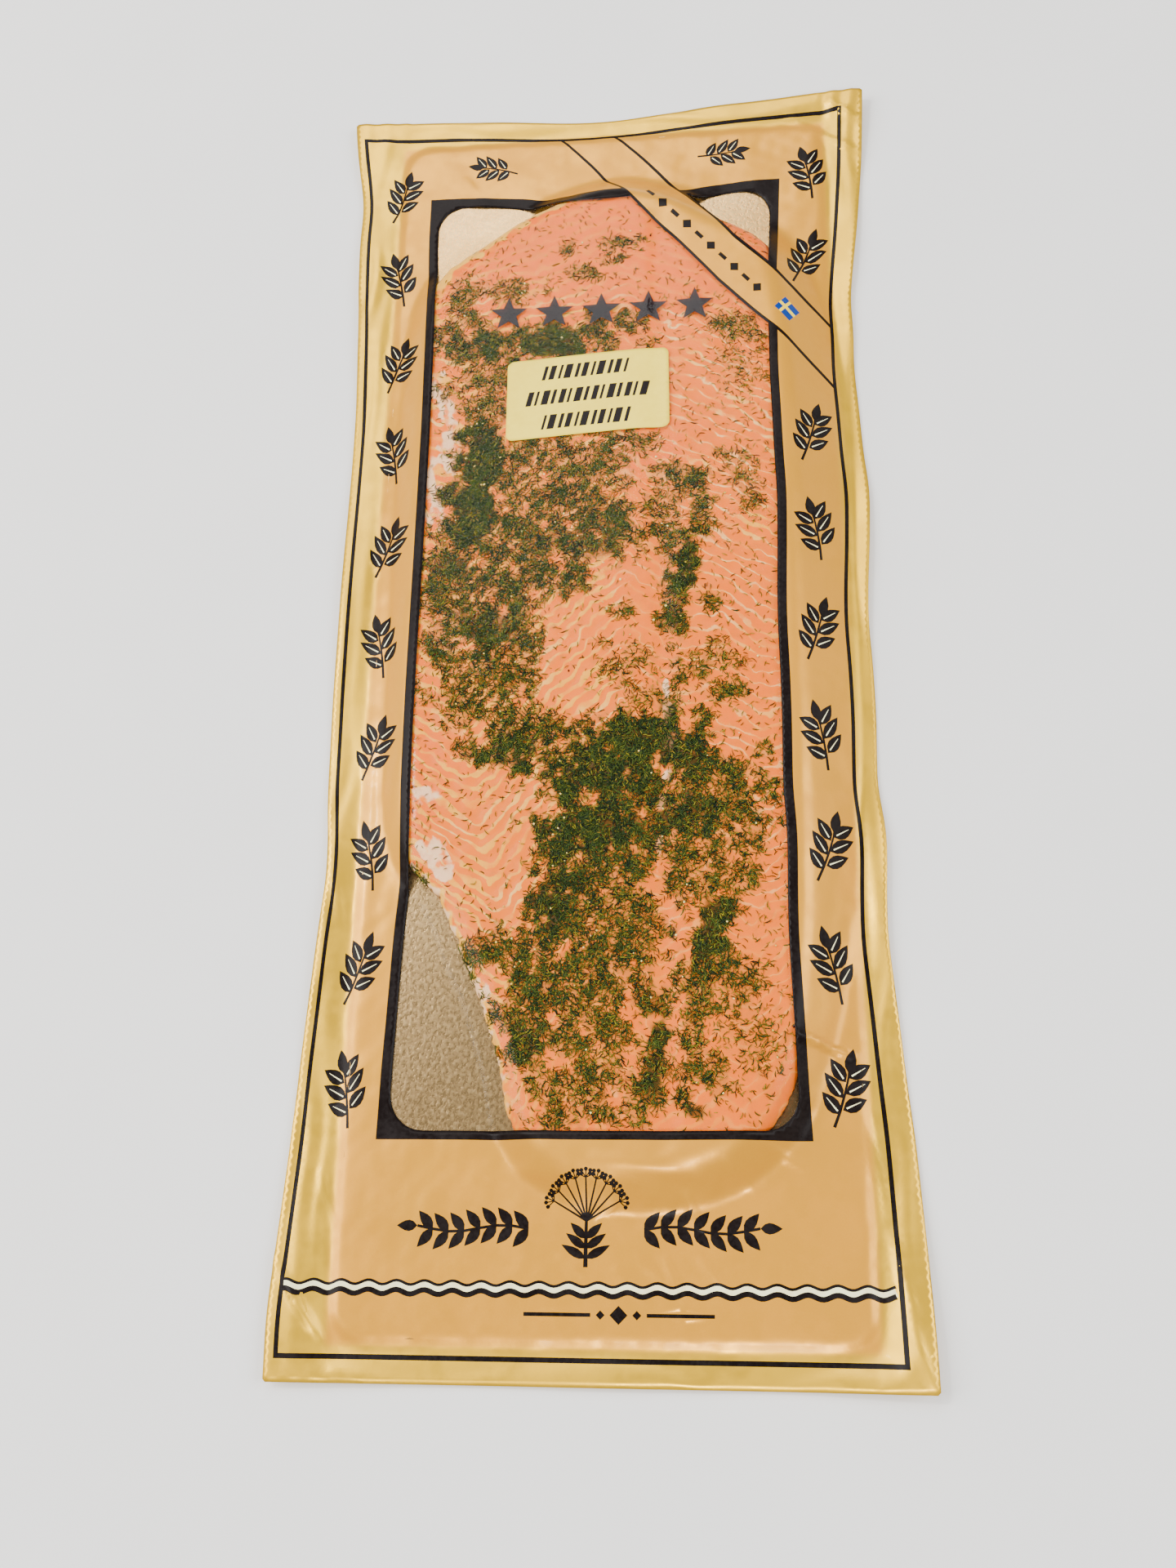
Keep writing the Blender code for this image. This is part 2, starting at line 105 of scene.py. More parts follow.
def closer(outline: Outline, spacing: float) -> Outline:
    """The outline with points added, so that none of its sides is longer than the spacing."""
    result: Outline = []
    for start, end in zip(outline, outline[1:] + outline[:1]):
        parts = max(1, math.ceil(math.dist(start, end) / spacing - 1e-9))
        for part in range(parts):
            share = part / parts
            result.append((start[0] + (end[0] - start[0]) * share, start[1] + (end[1] - start[1]) * share))
    return result


def stroke(path: Sequence[Point], width: float, taper: float = 1.0) -> Outline:
    """The outline of a pen stroke along the path.

    Args:
        path: points along the middle of the stroke.
        width: its width at the start.
        taper: share of that width which is left at the end.

    Returns:
        The points round the stroke.
    """
    line = np.array(path, float)
    along = np.gradient(line, axis=0)
    along /= np.linalg.norm(along, axis=1)[:, None]
    side = np.stack([-along[:, 1], along[:, 0]], axis=1)
    half = np.linspace(width / 2, taper * width / 2, len(line))[:, None]
    return [tuple(p) for p in line - side * half] + [tuple(p) for p in (line + side * half)[::-1]]


def leaf(base: Point, turn: float, length: float, width: float, steps: int = 5) -> Outline:
    """The outline of a pointed leaf that starts at base and points along turn, in degrees."""
    along = np.linspace(0, 1, steps + 1)
    half = width / 2 * np.sin(math.pi * along ** 0.8)
    way = np.array([math.cos(math.radians(turn)), math.sin(math.radians(turn))])
    side = np.array([-way[1], way[0]])
    lower = [np.array(base) + way * length * a - side * h for a, h in zip(along, half)]
    upper = [np.array(base) + way * length * a + side * h for a, h in zip(along[1:-1], half[1:-1])]
    return [tuple(p) for p in lower + upper[::-1]]


def regular_star(centre: Point, outer: float, inner: float, tips: int = 5) -> Outline:
    """The outline of a plain star with its first tip up."""
    return [
        (centre[0] + r * math.cos(math.pi * (0.5 + k / tips)),
         centre[1] + r * math.sin(math.pi * (0.5 + k / tips)))
        for k in range(2 * tips) for r in ((outer, inner)[k % 2],)
    ]


def ellipse(centre: Point, reach_x: float, reach_y: float, steps: int = 16) -> Outline:
    """The outline of an upright ellipse."""
    return [
        (centre[0] + reach_x * math.cos(math.tau * k / steps),
         centre[1] + reach_y * math.sin(math.tau * k / steps))
        for k in range(steps)
    ]


def placed(
    outline: Outline, centre: Point, turn: float = 0.0, size: float = 1.0, mirror: bool = False,
) -> Outline:
    """The outline scaled, turned by so many degrees and moved, and first mirrored left to right if asked."""
    c, s = math.cos(math.radians(turn)) * size, math.sin(math.radians(turn)) * size
    flip = -1 if mirror else 1
    return [(centre[0] + c * flip * x - s * y, centre[1] + s * flip * x + c * y) for x, y in outline]


def distance_to(outline: Outline, x: Array, y: Array) -> Array:
    """Distance from each point to the closed outline, positive inside it."""
    nearest = np.full(x.shape, np.inf)
    inside = np.zeros(x.shape, bool)
    for (x0, y0), (x1, y1) in zip(outline, outline[1:] + outline[:1]):
        dx, dy = x1 - x0, y1 - y0
        share = np.clip(((x - x0) * dx + (y - y0) * dy) / (dx * dx + dy * dy), 0, 1)
        nearest = np.minimum(nearest, np.hypot(x - x0 - share * dx, y - y0 - share * dy))
        if dy:
            inside ^= ((y0 > y) != (y1 > y)) & (x < x0 + (y - y0) * dx / dy)
    return np.where(inside, nearest, -nearest)


def blurred(grid: Array, reach: float) -> Array:
    """A grid of values smoothed by a Gaussian of this reach, in cells."""
    span = max(1, math.ceil(3 * reach))
    kernel = np.exp(-0.5 * (np.arange(-span, span + 1) / reach) ** 2)
    kernel /= kernel.sum()
    for axis in (0, 1):
        moved = np.moveaxis(grid, axis, 0)
        padded = np.concatenate([np.repeat(moved[:1], span, 0), moved, np.repeat(moved[-1:], span, 0)])
        moved = sum(k * padded[n:n + len(moved)] for n, k in enumerate(kernel))
        grid = np.moveaxis(moved, 0, axis)
    return grid


@dataclass(frozen=True)
class Ripple:
    """Smooth random waves over the pack, the same at each run.

    Attributes:
        length: a typical wavelength.
        seed: what the directions and phases are drawn from.
        stretch: how much longer the waves are along y than across it.
        waves: how many plain waves are added up.
    """

    length: float
    seed: int
    stretch: float = 1.0
    waves: int = 16

    def at(self, x: Array, y: Array) -> Array:
        """Heights at these places, about 1 either way."""
        draw = np.random.default_rng(self.seed)
        turns, phases = draw.uniform(0, math.tau, (2, self.waves))
        sizes = self.length * draw.uniform(0.7, 1.5, self.waves)
        total = np.zeros(np.shape(x))
        for turn, phase, size in zip(turns, phases, sizes):
            total += np.sin(math.tau * (x * math.cos(turn) + y * math.sin(turn) / self.stretch) / size + phase)
        return total / math.sqrt(self.waves / 2)


@dataclass
class HeightGrid:
    """Values on a square grid, read at any place between its points."""

    left: float
    bottom: float
    step: float
    values: Array

    def at(self, x: Array, y: Array) -> Array:
        """The values at these places."""
        rows, columns = self.values.shape
        gx = np.clip((np.asarray(x) - self.left) / self.step, 0, columns - 1.001)
        gy = np.clip((np.asarray(y) - self.bottom) / self.step, 0, rows - 1.001)
        ix, iy = gx.astype(int), gy.astype(int)
        fx, fy = gx - ix, gy - iy
        v = self.values
        low = v[iy, ix] * (1 - fx) + v[iy, ix + 1] * fx
        high = v[iy + 1, ix] * (1 - fx) + v[iy + 1, ix + 1] * fx
        return low * (1 - fy) + high * fy


# Meshes


def triangulated(outlines: Sequence[Outline], free: Array) -> tuple[Array, Array, list[list[int]]]:
    """Triangles of a flat sheet that keep every outline as edges.

    Args:
        outlines: closed outlines. The first is the sheet's own, and the others lie in it.
        free: more points, which the triangles also use.

    Returns:
        The points, the triangles, and for each triangle the numbers of the outlines that hold it.
    """
    points: list[Point] = []
    faces: list[list[int]] = []
    for outline in outlines:
        x, y = np.array(outline).T
        turns_left = np.sum(x * np.roll(y, -1) - np.roll(x, -1) * y) > 0
        faces.append(list(range(len(points), len(points) + len(outline))))
        points += outline if turns_left else outline[::-1]
    vectors = [Vector(p) for p in points] + [Vector(p) for p in free.tolist()]
    verts, _, tris, _, _, origins = delaunay_2d_cdt(vectors, [], faces, 1, 1e-4, True)
    held = [(tri, origin) for tri, origin in zip(tris, origins) if origin]
    used, numbers = np.unique(np.array([tri for tri, _ in held]), return_inverse=True)
    return np.array([tuple(v) for v in verts])[used], numbers.reshape(-1, 3), [origin for _, origin in held]


def free_points(step: float, box: tuple[float, float, float, float], near: Sequence[Outline]) -> Array:
    """A staggered grid of points in a box, without those that lie close to an outline."""
    left, right, bottom, top = box
    rows, columns = int((top - bottom) / step), int((right - left) / step)
    y, x = np.mgrid[0:rows, 0:columns].astype(float)
    x = left + (x + 0.5 + 0.5 * (y % 2)) * step
    y = bottom + (y + 0.5) * step
    taken = np.zeros((rows, columns), bool)
    for outline in near:
        dense = np.array(closer(outline, step / 3))
        row = np.floor((dense[:, 1] - bottom) / step).astype(int)
        keep = (row >= 0) & (row < rows)
        row, dense = row[keep], dense[keep]
        column = np.round((dense[:, 0] - left) / step - 0.5 - 0.5 * (row % 2)).astype(int)
        keep = (column >= 0) & (column < columns)
        taken[row[keep], column[keep]] = True
    return np.stack([x[~taken], y[~taken]], axis=1)


def open_edges(tris: Array) -> Array:
    """The edges, as pairs in the direction of their triangle, that only one triangle has."""
    edges = np.concatenate([tris[:, [0, 1]], tris[:, [1, 2]], tris[:, [2, 0]]])
    key = np.sort(edges, axis=1)
    _, first, count = np.unique(key, axis=0, return_index=True, return_counts=True)
    return edges[first[count == 1]]


def thickened(verts: Array, tris: Array, inks: Array, under: Array) -> tuple[Array, Array, Array]:
    """Gives a sheet an underside and closes its edges.

    Args:
        verts: the points of the upper side.
        tris: its triangles, facing up.
        inks: the material number of each triangle.
        under: the points of the underside, one for each upper point.

    Returns:
        The points, triangles and material numbers of the closed sheet.
    """
    count = len(verts)
    edge = open_edges(tris)
    a, b = edge[:, 0], edge[:, 1]
    owner = {tuple(pair): number for number, tri in enumerate(tris.tolist())
             for pair in ((tri[0], tri[1]), (tri[1], tri[2]), (tri[2], tri[0]))}
    edge_inks = np.array([inks[owner[tuple(pair)]] for pair in edge.tolist()])
    side = np.concatenate([np.stack([b, a, a + count], 1), np.stack([b, a + count, b + count], 1)])
    return (
        np.concatenate([verts, under]),
        np.concatenate([tris, tris[:, ::-1] + count, side]),
        np.concatenate([inks, inks, edge_inks, edge_inks]),
    )


def mesh_from(name: str, verts: Array, faces: Array, inks: Array | None = None) -> bpy.types.Mesh:
    """A smooth-shaded mesh in metres from points in millimetres, with a material number for each face."""
    mesh = bpy.data.meshes.new(name)
    mesh.from_pydata((np.asarray(verts) * MM).tolist(), [], [list(f) for f in faces])
    if inks is not None:
        mesh.polygons.foreach_set("material_index", np.asarray(inks, np.int32))
    mesh.shade_smooth()
    mesh.validate()
    return mesh


def set_mask(mesh: bpy.types.Mesh, name: str, values: Array) -> None:
    """Stores a number for each point of the mesh, which materials and node trees read by name."""
    layer = mesh.attributes.new(name, "FLOAT", "POINT")
    layer.data.foreach_set("value", np.asarray(values, np.float32))


def add_piece(name: str, mesh: bpy.types.Mesh, finishes: Sequence[bpy.types.Material]) -> bpy.types.Object:
    """An object of this mesh in the scene, with its finishes."""
    piece = bpy.data.objects.new(name, mesh)
    if not mesh.materials:
        for finish in finishes:
            mesh.materials.append(finish)
    bpy.context.scene.collection.objects.link(piece)
    return piece


# Form of the pack, as in the part's source


@dataclass(frozen=True)
class Pouch:
    """The flat bag, how the vacuum draws it in, and how its rim stands off the ground."""

    width: float = 240
    length: float = 560
    film: float = 0.3
    left_pull: tuple = (
        (-280, 3.4), (-257, 2.6), (-234, 4), (-201, 6), (-167, 7.5), (-138, 9.5), (-119, 10.7), (-97, 12.6),
        (-82, 12.4), (-57, 10.2), (-16, 9.5), (33, 9.9), (69, 10.2), (116, 10.2), (162, 8.8), (188, 7.3),
        (214, 6.2),
        (232, 6.8), (245, 4.9), (263, 2.1), (280, 0.3),
    )
    right_pull: tuple = (
        (-280, 0), (-254, 0.5), (-227, 1.6), (-194, 3.1), (-177, 4.8), (-149, 6.8), (-120, 9.2), (-100, 8.5),
        (-84, 7.3), (-72, 8), (-62, 10), (-31, 8.7), (-8, 9), (10, 10), (28, 9.3), (42, 8), (71, 6.4), (90, 8.2),
        (110, 8.9), (133, 10.3), (150, 9.5), (165, 10.4), (181, 8.7), (205, 5.6), (241, 1.9), (280, 0),
    )
    top_sag: float = 6
    top_sag_x: float = -8
    top_sag_reach: float = 52
    rim_wave: float = 1.3
    rim_width: float = 14
    corner_curl: float = 4.5
    corner_reach: float = 55
    corner_shares: tuple = ((1, 1, 1.0), (-1, 1, 0.45), (1, -1, 0.7), (-1, -1, 0.35))

    def drawn_in(self, u: Array, v: Array) -> tuple[Array, Array]:
        """The place (x, y) on the pack of points of the flat pouch, before the film climbs onto the fish."""
        pulls = []
        for table in (self.left_pull, self.right_pull):
            line = HeightGrid(-300, 0, 5, blurred(np.tile(np.interp(
                np.arange(-300, 301, 5), *np.array(table, float).T), (2, 1)), 1.2))
            pulls.append(line.at(v, np.zeros(np.shape(v))))
        pull = np.where(u < 0, pulls[0], pulls[1])
        x = u - np.sign(u) * pull * (u / (self.width / 2)) ** 2
        sag = np.exp(-(((u - self.top_sag_x) / self.top_sag_reach) ** 2))
        return x, v - np.where(v > 0, self.top_sag * sag * np.abs(v / (self.length / 2)) ** 4, 0)

    def outline(self, spacing: float) -> Outline:
        """The flat outline of the pouch with a point at least every so far."""
        w, h = self.width / 2, self.length / 2
        return closer([(-w + 1, -h), (w - 1, -h), (w, -h + 1), (w, h - 1), (w - 1, h), (-w + 1, h), (-w, h - 1),
                       (-w, -h + 1)], spacing)

    def rim_lift(self, x: Array, y: Array, board: "Board") -> Array:
        """How far the sealed rim stands off the ground outside the board."""
        share = smoothstep(0, self.rim_width, board.past(x, y))
        wave = self.rim_wave * (1 + np.sin(x / 17 + 1) * np.sin(y / 23))
        curl = np.zeros(np.shape(x))
        for side, end, much in self.corner_shares:
            corner = np.hypot(x - side * self.width / 2, y - end * self.length / 2)
            curl += much * self.corner_curl * smoothstep(self.corner_reach, 0, corner)
        return share * (wave + curl)


@dataclass(frozen=True)
class Board:
    """The foil-faced card under the fish."""

    width: float = 192
    length: float = 528
    x: float = 3
    y: float = -1
    corner: float = 12
    margin: float = 0.5
    bottom: float = 0.6
    top: float = 1.6

    def outline(self) -> Outline:
        """The board's outline seen from above."""
        return rectangle(self.x - self.width / 2, self.x + self.width / 2, self.y - self.length / 2,
                         self.y + self.length / 2, self.corner)

    def past(self, x: Array, y: Array) -> Array:
        """How far each place lies outside the board's rectangle."""
        side = np.maximum(np.abs(x - self.x) - self.width / 2 - self.margin, 0)
        end = np.maximum(np.abs(y - self.y) - self.length / 2 - self.margin, 0)
        return np.hypot(side, end)


@dataclass(frozen=True)
class FishForm:
    """The swell of the side of fish: thin at the belly on the left, thick along the back."""

    bottom: float = 1.9
    thickness: float = 18
    left: float = -82
    right: float = 89
    belly_share: float = 0.55
    back_from: float = 0.72
    tail_share: float = 0.62
    neck_share: float = 0.74
    shoulder_y: float = 85
    tail_y: float = -212
    neck_y: float = 228
    edge_share: float = 0.22
    edge_round: float = 11
    seam_x: float = 26.5
    seam_depth: float = 0.8
    seam_width: float = 5
    points: tuple = (
        (2, 229), (28, 223), (52, 209), (74, 193), (84, 166), (88, 110), (89, 40), (89, -60), (86, -130),
        (77, -171), (66, -192), (48, -207), (18, -213), (-14, -209), (-30, -192), (-36, -168), (-45, -142),
        (-53, -124), (-62, -104), (-75, -89), (-81, -60), (-82, 40), (-82, 140), (-76, 183), (-54, 203),
        (-30, 219),
    )

    def outline(self) -> Outline:
        """The fish's outline seen from above."""
        return smooth_closed(self.points)

    def top(self, x: Array, y: Array, inside: Array) -> Array:
        """Height of the flesh over the ground, where inside is the distance to the outline."""
        cross = self.belly_share + (1 - self.belly_share) * smoothstep(
            0, self.back_from, (x - self.left) / (self.right - self.left))
        to_tail = 1 - (1 - self.tail_share) * smoothstep(self.shoulder_y, self.tail_y, y)
        to_neck = 1 - (1 - self.neck_share) * smoothstep(self.shoulder_y, self.neck_y, y)
        rounded = np.sqrt(1 - (1 - np.clip(inside / self.edge_round, 0, 1)) ** 2)
        edge = self.edge_share + (1 - self.edge_share) * rounded
        seam = self.seam_depth * np.exp(-(((x - self.seam_x) / self.seam_width) ** 2))
        seam = seam * (inside > self.edge_round)
        return self.bottom + self.thickness * cross * to_tail * to_neck * edge - seam


@dataclass(frozen=True)
class Crease:
    """A raised fold of the film along a straight way that fades at both ends."""

    start: Point
    end: Point
    height: float
    width: float

    def at(self, x: Array, y: Array) -> Array:
        """Height that the crease adds at these places."""
        dx, dy = self.end[0] - self.start[0], self.end[1] - self.start[1]
        share = ((x - self.start[0]) * dx + (y - self.start[1]) * dy) / (dx * dx + dy * dy)
        kept = np.clip(share, 0, 1)
        away = np.hypot(x - self.start[0] - kept * dx, y - self.start[1] - kept * dy)
        along = np.sqrt(np.clip(4 * share * (1 - share), 0, 1))
        return self.height * along * np.exp(-((away / self.width) ** 2))


@dataclass
class FilmForm:
    """The height of the pouch's films: drawn tight over the fish and the board, with soft folds in the rim."""

    pouch: Pouch
    board: Board
    fish: FishForm
    step: float = 1.0
    over_flesh: float = 1.7
    over_board: float = 2.2
    slope: float = 0.8
    reach: int = 20
    softness: float = 1.3
    seal: float = 0.45
    thickness: float = 0.15
    fold_height: float = 0.55
    creases: tuple[Crease, ...] = (
        Crease((8, -240), (20, -252), 0.68, 1.35), Crease((16, -236), (30, -248), 0.74, 1.26),
        Crease((26, -236), (33, -252), 0.68, 1.26), Crease((34, -214), (40, -232), 0.68, 1.44),
        Crease((38, -236), (47, -246), 0.81, 1.35), Crease((48, -202), (60, -214), 0.68, 1.62),
        Crease((60, -196), (78, -206), 0.68, 1.62), Crease((-12, -236), (-2, -243), 0.54, 1.44),
        Crease((-118, -236), (-100, -262), 0.94, 1.62), Crease((-110, -248), (-92, -272), 0.81, 1.44),
        Crease((-102, -206), (-94, -228), 0.68, 1.44), Crease((66, -157), (86, -161), 2.0, 0.9),
        Crease((80, -160), (98, -166), 2.2, 0.9), Crease((100, -186), (106, -224), 0.81, 1.53),
        Crease((106, -226), (113, -256), 0.94, 1.53), Crease((111, -256), (118, -279), 0.94, 1.62),
        Crease((95, 262), (118, 246), 0.94, 1.62), Crease((103, 276), (119, 262), 0.94, 1.53),
        Crease((84, 270), (104, 258), 0.54, 1.62), Crease((-66, 246), (-58, 234), 0.41, 1.8),
        Crease((-30, -206), (10, -212), 0.47, 2.34), Crease((0, -203), (42, -209), 0.54, 2.34),
    )
    pull_to: Point = (54.5, -249)
    pull_share: float = 1 / 552
    pull_reach: float = 11
    grid: HeightGrid = field(init=False)
    climb: HeightGrid = field(init=False)

    def __post_init__(self) -> None:
        """Stretches the film over what it holds."""
        left, bottom = -126.0, -288.0
        rows, columns = int(-2 * bottom / self.step) + 1, int(-2 * left / self.step) + 1
        y, x = np.mgrid[0:rows, 0:columns] * self.step
        x, y = x + left, y + bottom
        inside = distance_to(self.fish.outline(), x, y)
        on_fish = np.where(inside > 0, self.fish.top(x, y, inside) + self.over_flesh, 0)
        on_board = np.where(distance_to(self.board.outline(), x, y) > -1, self.over_board, 0)
        held = np.maximum(on_fish, on_board)
        high = np.maximum(held, self.pouch.rim_lift(x, y, self.board) + self.seal)
        span = range(-self.reach, self.reach + 1)
        for dy in span:
            for dx in span:
                drop = self.slope * math.hypot(dx, dy) * self.step
                if 0 < drop < self.slope * self.reach * self.step:
                    ys, yd = slice(max(0, dy), rows + min(0, dy)), slice(max(0, -dy), rows + min(0, -dy))
                    xs, xd = slice(max(0, dx), columns + min(0, dx)), slice(max(0, -dx), columns + min(0, -dx))
                    high[yd, xd] = np.maximum(high[yd, xd], held[ys, xs] - drop)
        self.grid = HeightGrid(left, bottom, self.step, blurred(high, self.softness / self.step))
        climb = np.maximum(self.grid.values - self.over_board, 0) * (held > 0)
        self.climb = HeightGrid(left, bottom, self.step, blurred(climb, self.pull_reach / self.step))

    def laid(self, u: Array, v: Array) -> tuple[Array, Array]:
        """The place (x, y) of points of the flat print, drawn on towards the tail where the film climbs."""
        x0, y0 = self.pouch.drawn_in(u, v)
        x, y = x0, y0
        for _ in range(6):
            share = self.climb.at(x, y) * self.pull_share
            x, y = x0 + (self.pull_to[0] - x0) * share, y0 + (self.pull_to[1] - y0) * share
        return x, y

    def folds(self, x: Array, y: Array) -> Array:
        """Soft folds along the rim, outside the board."""
        share = smoothstep(1, 9, self.board.past(x, y))
        along = np.where(np.abs(x - self.board.x) > self.board.width / 2, x, y)
        across = np.where(np.abs(x - self.board.x) > self.board.width / 2, y, x)
        wander = Ripple(70, 5).at(across, along)
        wave = np.sin(math.tau * along / 8.5 + 1.6 * wander) * (0.6 + 0.4 * np.sin(across / 19 + wander))
        return share * self.fold_height * (0.5 + 0.5 * wave)

    def raised(self, x: Array, y: Array) -> Array:
        """Height of the single creases."""
        return sum(crease.at(x, y) for crease in self.creases)

    def front(self, x: Array, y: Array) -> Array:
        """Height of the front film's upper side."""
        on_fish = smoothstep(7, 11, self.grid.at(x, y))
        soft = 0.11 * Ripple(21, 11, 1.3).at(x, y) + 0.04 * Ripple(7.5, 12, 1.2).at(x, y)
        held = (1 - smoothstep(0, 5, self.board.past(x, y))) * (1 - 0.6 * on_fish)
        return self.grid.at(x, y) + soft * held + self.raised(x, y) + self.folds(x, y)

    def back(self, x: Array, y: Array) -> Array:
        """Height of the back film's underside, which goes with the front in the rim."""
        share = smoothstep(1, 6, self.board.past(x, y))
        return self.pouch.rim_lift(x, y, self.board) + self.folds(x, y) + share * self.raised(x, y) + 0.04


# Finishes


def srgb(red: int, green: int, blue: int) -> Colour:
    """A colour of the usual 0 to 255 scale as the linear colour that shaders take."""
    return tuple(
        c / 12.92 if c <= 0.04045 else ((c + 0.055) / 1.055) ** 2.4 for c in (red / 255, green / 255, blue / 255)
    ) + (1.0,)


class Wiring:
    """Adds nodes to one node tree and joins their sockets."""

    def __init__(self, tree: bpy.types.NodeTree) -> None:
        """Takes the tree that the nodes go into."""
        self.tree = tree

    def put(self, kind: str, values: dict[Any, Any] | None = None, **settings: Any) -> bpy.types.Node:
        """Adds a node.

        Args:
            kind: the node's type name.
            values: by input name or number, a socket to join or a plain value to set.
            settings: the node's own settings.

        Returns:
            The node.
        """
        node = self.tree.nodes.new(kind)
        for key, value in settings.items():
            setattr(node, key, value)
        for key, value in (values or {}).items():
            if isinstance(value, bpy.types.NodeSocket):
                self.tree.links.new(value, node.inputs[key])
            else:
                node.inputs[key].default_value = value
        return node

    def math(self, operation: str, *values: Any, clamp: bool = False) -> bpy.types.NodeSocket:
        """The result of a Math node on these values or sockets."""
        node = self.put("ShaderNodeMath", dict(enumerate(values)), operation=operation, use_clamp=clamp)
        return node.outputs[0]

    def mix(self, share: Any, first: Any, second: Any) -> bpy.types.NodeSocket:
        """The colour between two colours."""
        return self.put("ShaderNodeMix", {0: share, 6: first, 7: second}, data_type="RGBA").outputs[2]

    def rise(
        self, value: Any, low: float, high: float, least: float = 0.0, most: float = 1.0,
    ) -> bpy.types.NodeSocket:
        """A smooth rise from least to most while the value goes from low to high."""
        return self.put("ShaderNodeMapRange", {0: value, 1: low, 2: high, 3: least, 4: most},
                        interpolation_type="SMOOTHSTEP").outputs[0]

    def place(self, scale: Sequence[float] = (1, 1, 1), turn: float = 0.0) -> bpy.types.NodeSocket:
        """Object coordinates, stretched and turned about Z by so many degrees."""
        where = self.put("ShaderNodeTexCoord").outputs["Object"]
        return self.put("ShaderNodeMapping", {"Vector": where, "Scale": scale,
                                              "Rotation": (0, 0, math.radians(turn))}).outputs[0]

    def noise(self, place: Any, size: float, detail: float = 3.0, rough: float = 0.5) -> bpy.types.NodeSocket:
        """Soft noise whose blots are about this many millimetres across."""
        return self.put("ShaderNodeTexNoise", {"Vector": place, "Scale": 1 / (size * MM), "Detail": detail,
                                               "Roughness": rough}).outputs["Fac"]

    def sway(self, place: Any, size: float, much: float, detail: float = 4.0, rough: float = 0.5) -> Any:
        """Soft noise that goes half of much either way from 0."""
        return self.math("MULTIPLY", self.math("SUBTRACT", self.noise(place, size, detail, rough), 0.5), much)

    def mask(self, name: str) -> bpy.types.NodeSocket:
        """A number stored on the mesh under this name."""
        return self.put("ShaderNodeAttribute", attribute_name=name).outputs["Fac"]

    def bump(self, height: Any, depth: float, normal: Any = None) -> bpy.types.NodeSocket:
        """A normal bent by a height from 0 to 1 that stands for so many millimetres."""
        values = {"Height": height, "Distance": depth * MM, "Strength": 1.0}
        if normal is not None:
            values["Normal"] = normal
        return self.put("ShaderNodeBump", values).outputs[0]


def new_material(name: str) -> tuple[bpy.types.Material, Wiring, bpy.types.Node]:
    """An empty material with a Principled shader joined to its output, and the wiring to add to it."""
    made = bpy.data.materials.new(name)
    made.use_nodes = True
    return made, Wiring(made.node_tree), made.node_tree.nodes["Principled BSDF"]


def dress(wiring: Wiring, shader: bpy.types.Node, values: dict[str, Any]) -> None:
    """Sets or joins the shader's inputs by name."""
    for key, value in values.items():
        if isinstance(value, bpy.types.NodeSocket):
            wiring.tree.links.new(value, shader.inputs[key])
        else:
            shader.inputs[key].default_value = value


def new_group(
    name: str, numbers: dict[str, float], results: Sequence[str],
) -> tuple[bpy.types.NodeTree, Wiring, bpy.types.Node, bpy.types.Node]:
    """A shader node group with named numbers going in and named numbers coming out."""
    tree = bpy.data.node_groups.new(name, "ShaderNodeTree")
    for key, value in numbers.items():
        tree.interface.new_socket(key, in_out="INPUT", socket_type="NodeSocketFloat").default_value = value
    for key in results:
        tree.interface.new_socket(key, in_out="OUTPUT", socket_type="NodeSocketFloat")
    wiring = Wiring(tree)
    return tree, wiring, wiring.put("NodeGroupInput"), wiring.put("NodeGroupOutput")


class SharedEffects:
    """The effects that more than one finish uses, as node groups that are built once."""

    def __init__(self) -> None:
        """Builds the groups."""
        self.film_skin = self._film_skin()
        self.mottle = self._mottle()

    def _film_skin(self) -> bpy.types.NodeTree:
        """Fine orange-peel and faint drawn lines of a thin film, as a height."""
        tree, w, start, end = new_group("film_skin", {"Peel": 1.0, "Lines": 1.0}, ["Height"])
        place = w.place()
        peel = w.noise(place, 1.6, 3, 0.55)
        soft = w.noise(place, 6, 2)
        lines = w.noise(w.place((1, 0.08, 1)), 1.2, 2)
        total = w.math("ADD", w.math("MULTIPLY", peel, start.outputs["Peel"]), soft)
        total = w.math("ADD", total, w.math("MULTIPLY", lines, start.outputs["Lines"]))
        tree.links.new(w.math("MULTIPLY", total, 0.34), end.inputs["Height"])
        return tree

    def _mottle(self) -> bpy.types.NodeTree:
        """Blots of two sizes, as a mask."""
        tree, w, start, end = new_group("mottle", {"Large": 20.0, "Small": 4.0, "Small share": 0.4}, ["Mask"])
        where = w.put("ShaderNodeTexCoord").outputs["Object"]
        blots = []
        for key in ("Large", "Small"):
            scale = w.math("DIVIDE", 1 / MM, start.outputs[key])
            noise = w.put("ShaderNodeTexNoise", {"Vector": where, "Scale": scale, "Detail": 3.0})
            blots.append(noise.outputs["Fac"])
        mixed = w.math("ADD", w.math("MULTIPLY", blots[0], w.math("SUBTRACT", 1.0, start.outputs["Small share"])),
                       w.math("MULTIPLY", blots[1], start.outputs["Small share"]))
        tree.links.new(w.rise(mixed, 0.34, 0.66), end.inputs["Mask"])
        return tree

    def add(self, wiring: Wiring, tree: bpy.types.NodeTree, **numbers: float) -> bpy.types.NodeSocket:
        """Places a group in a material and gives its first result. Underlines in names stand for spaces."""
        node = wiring.put("ShaderNodeGroup", node_tree=tree)
        for key, value in numbers.items():
            node.inputs[key.replace("_", " ")].default_value = value
        return node.outputs[0]


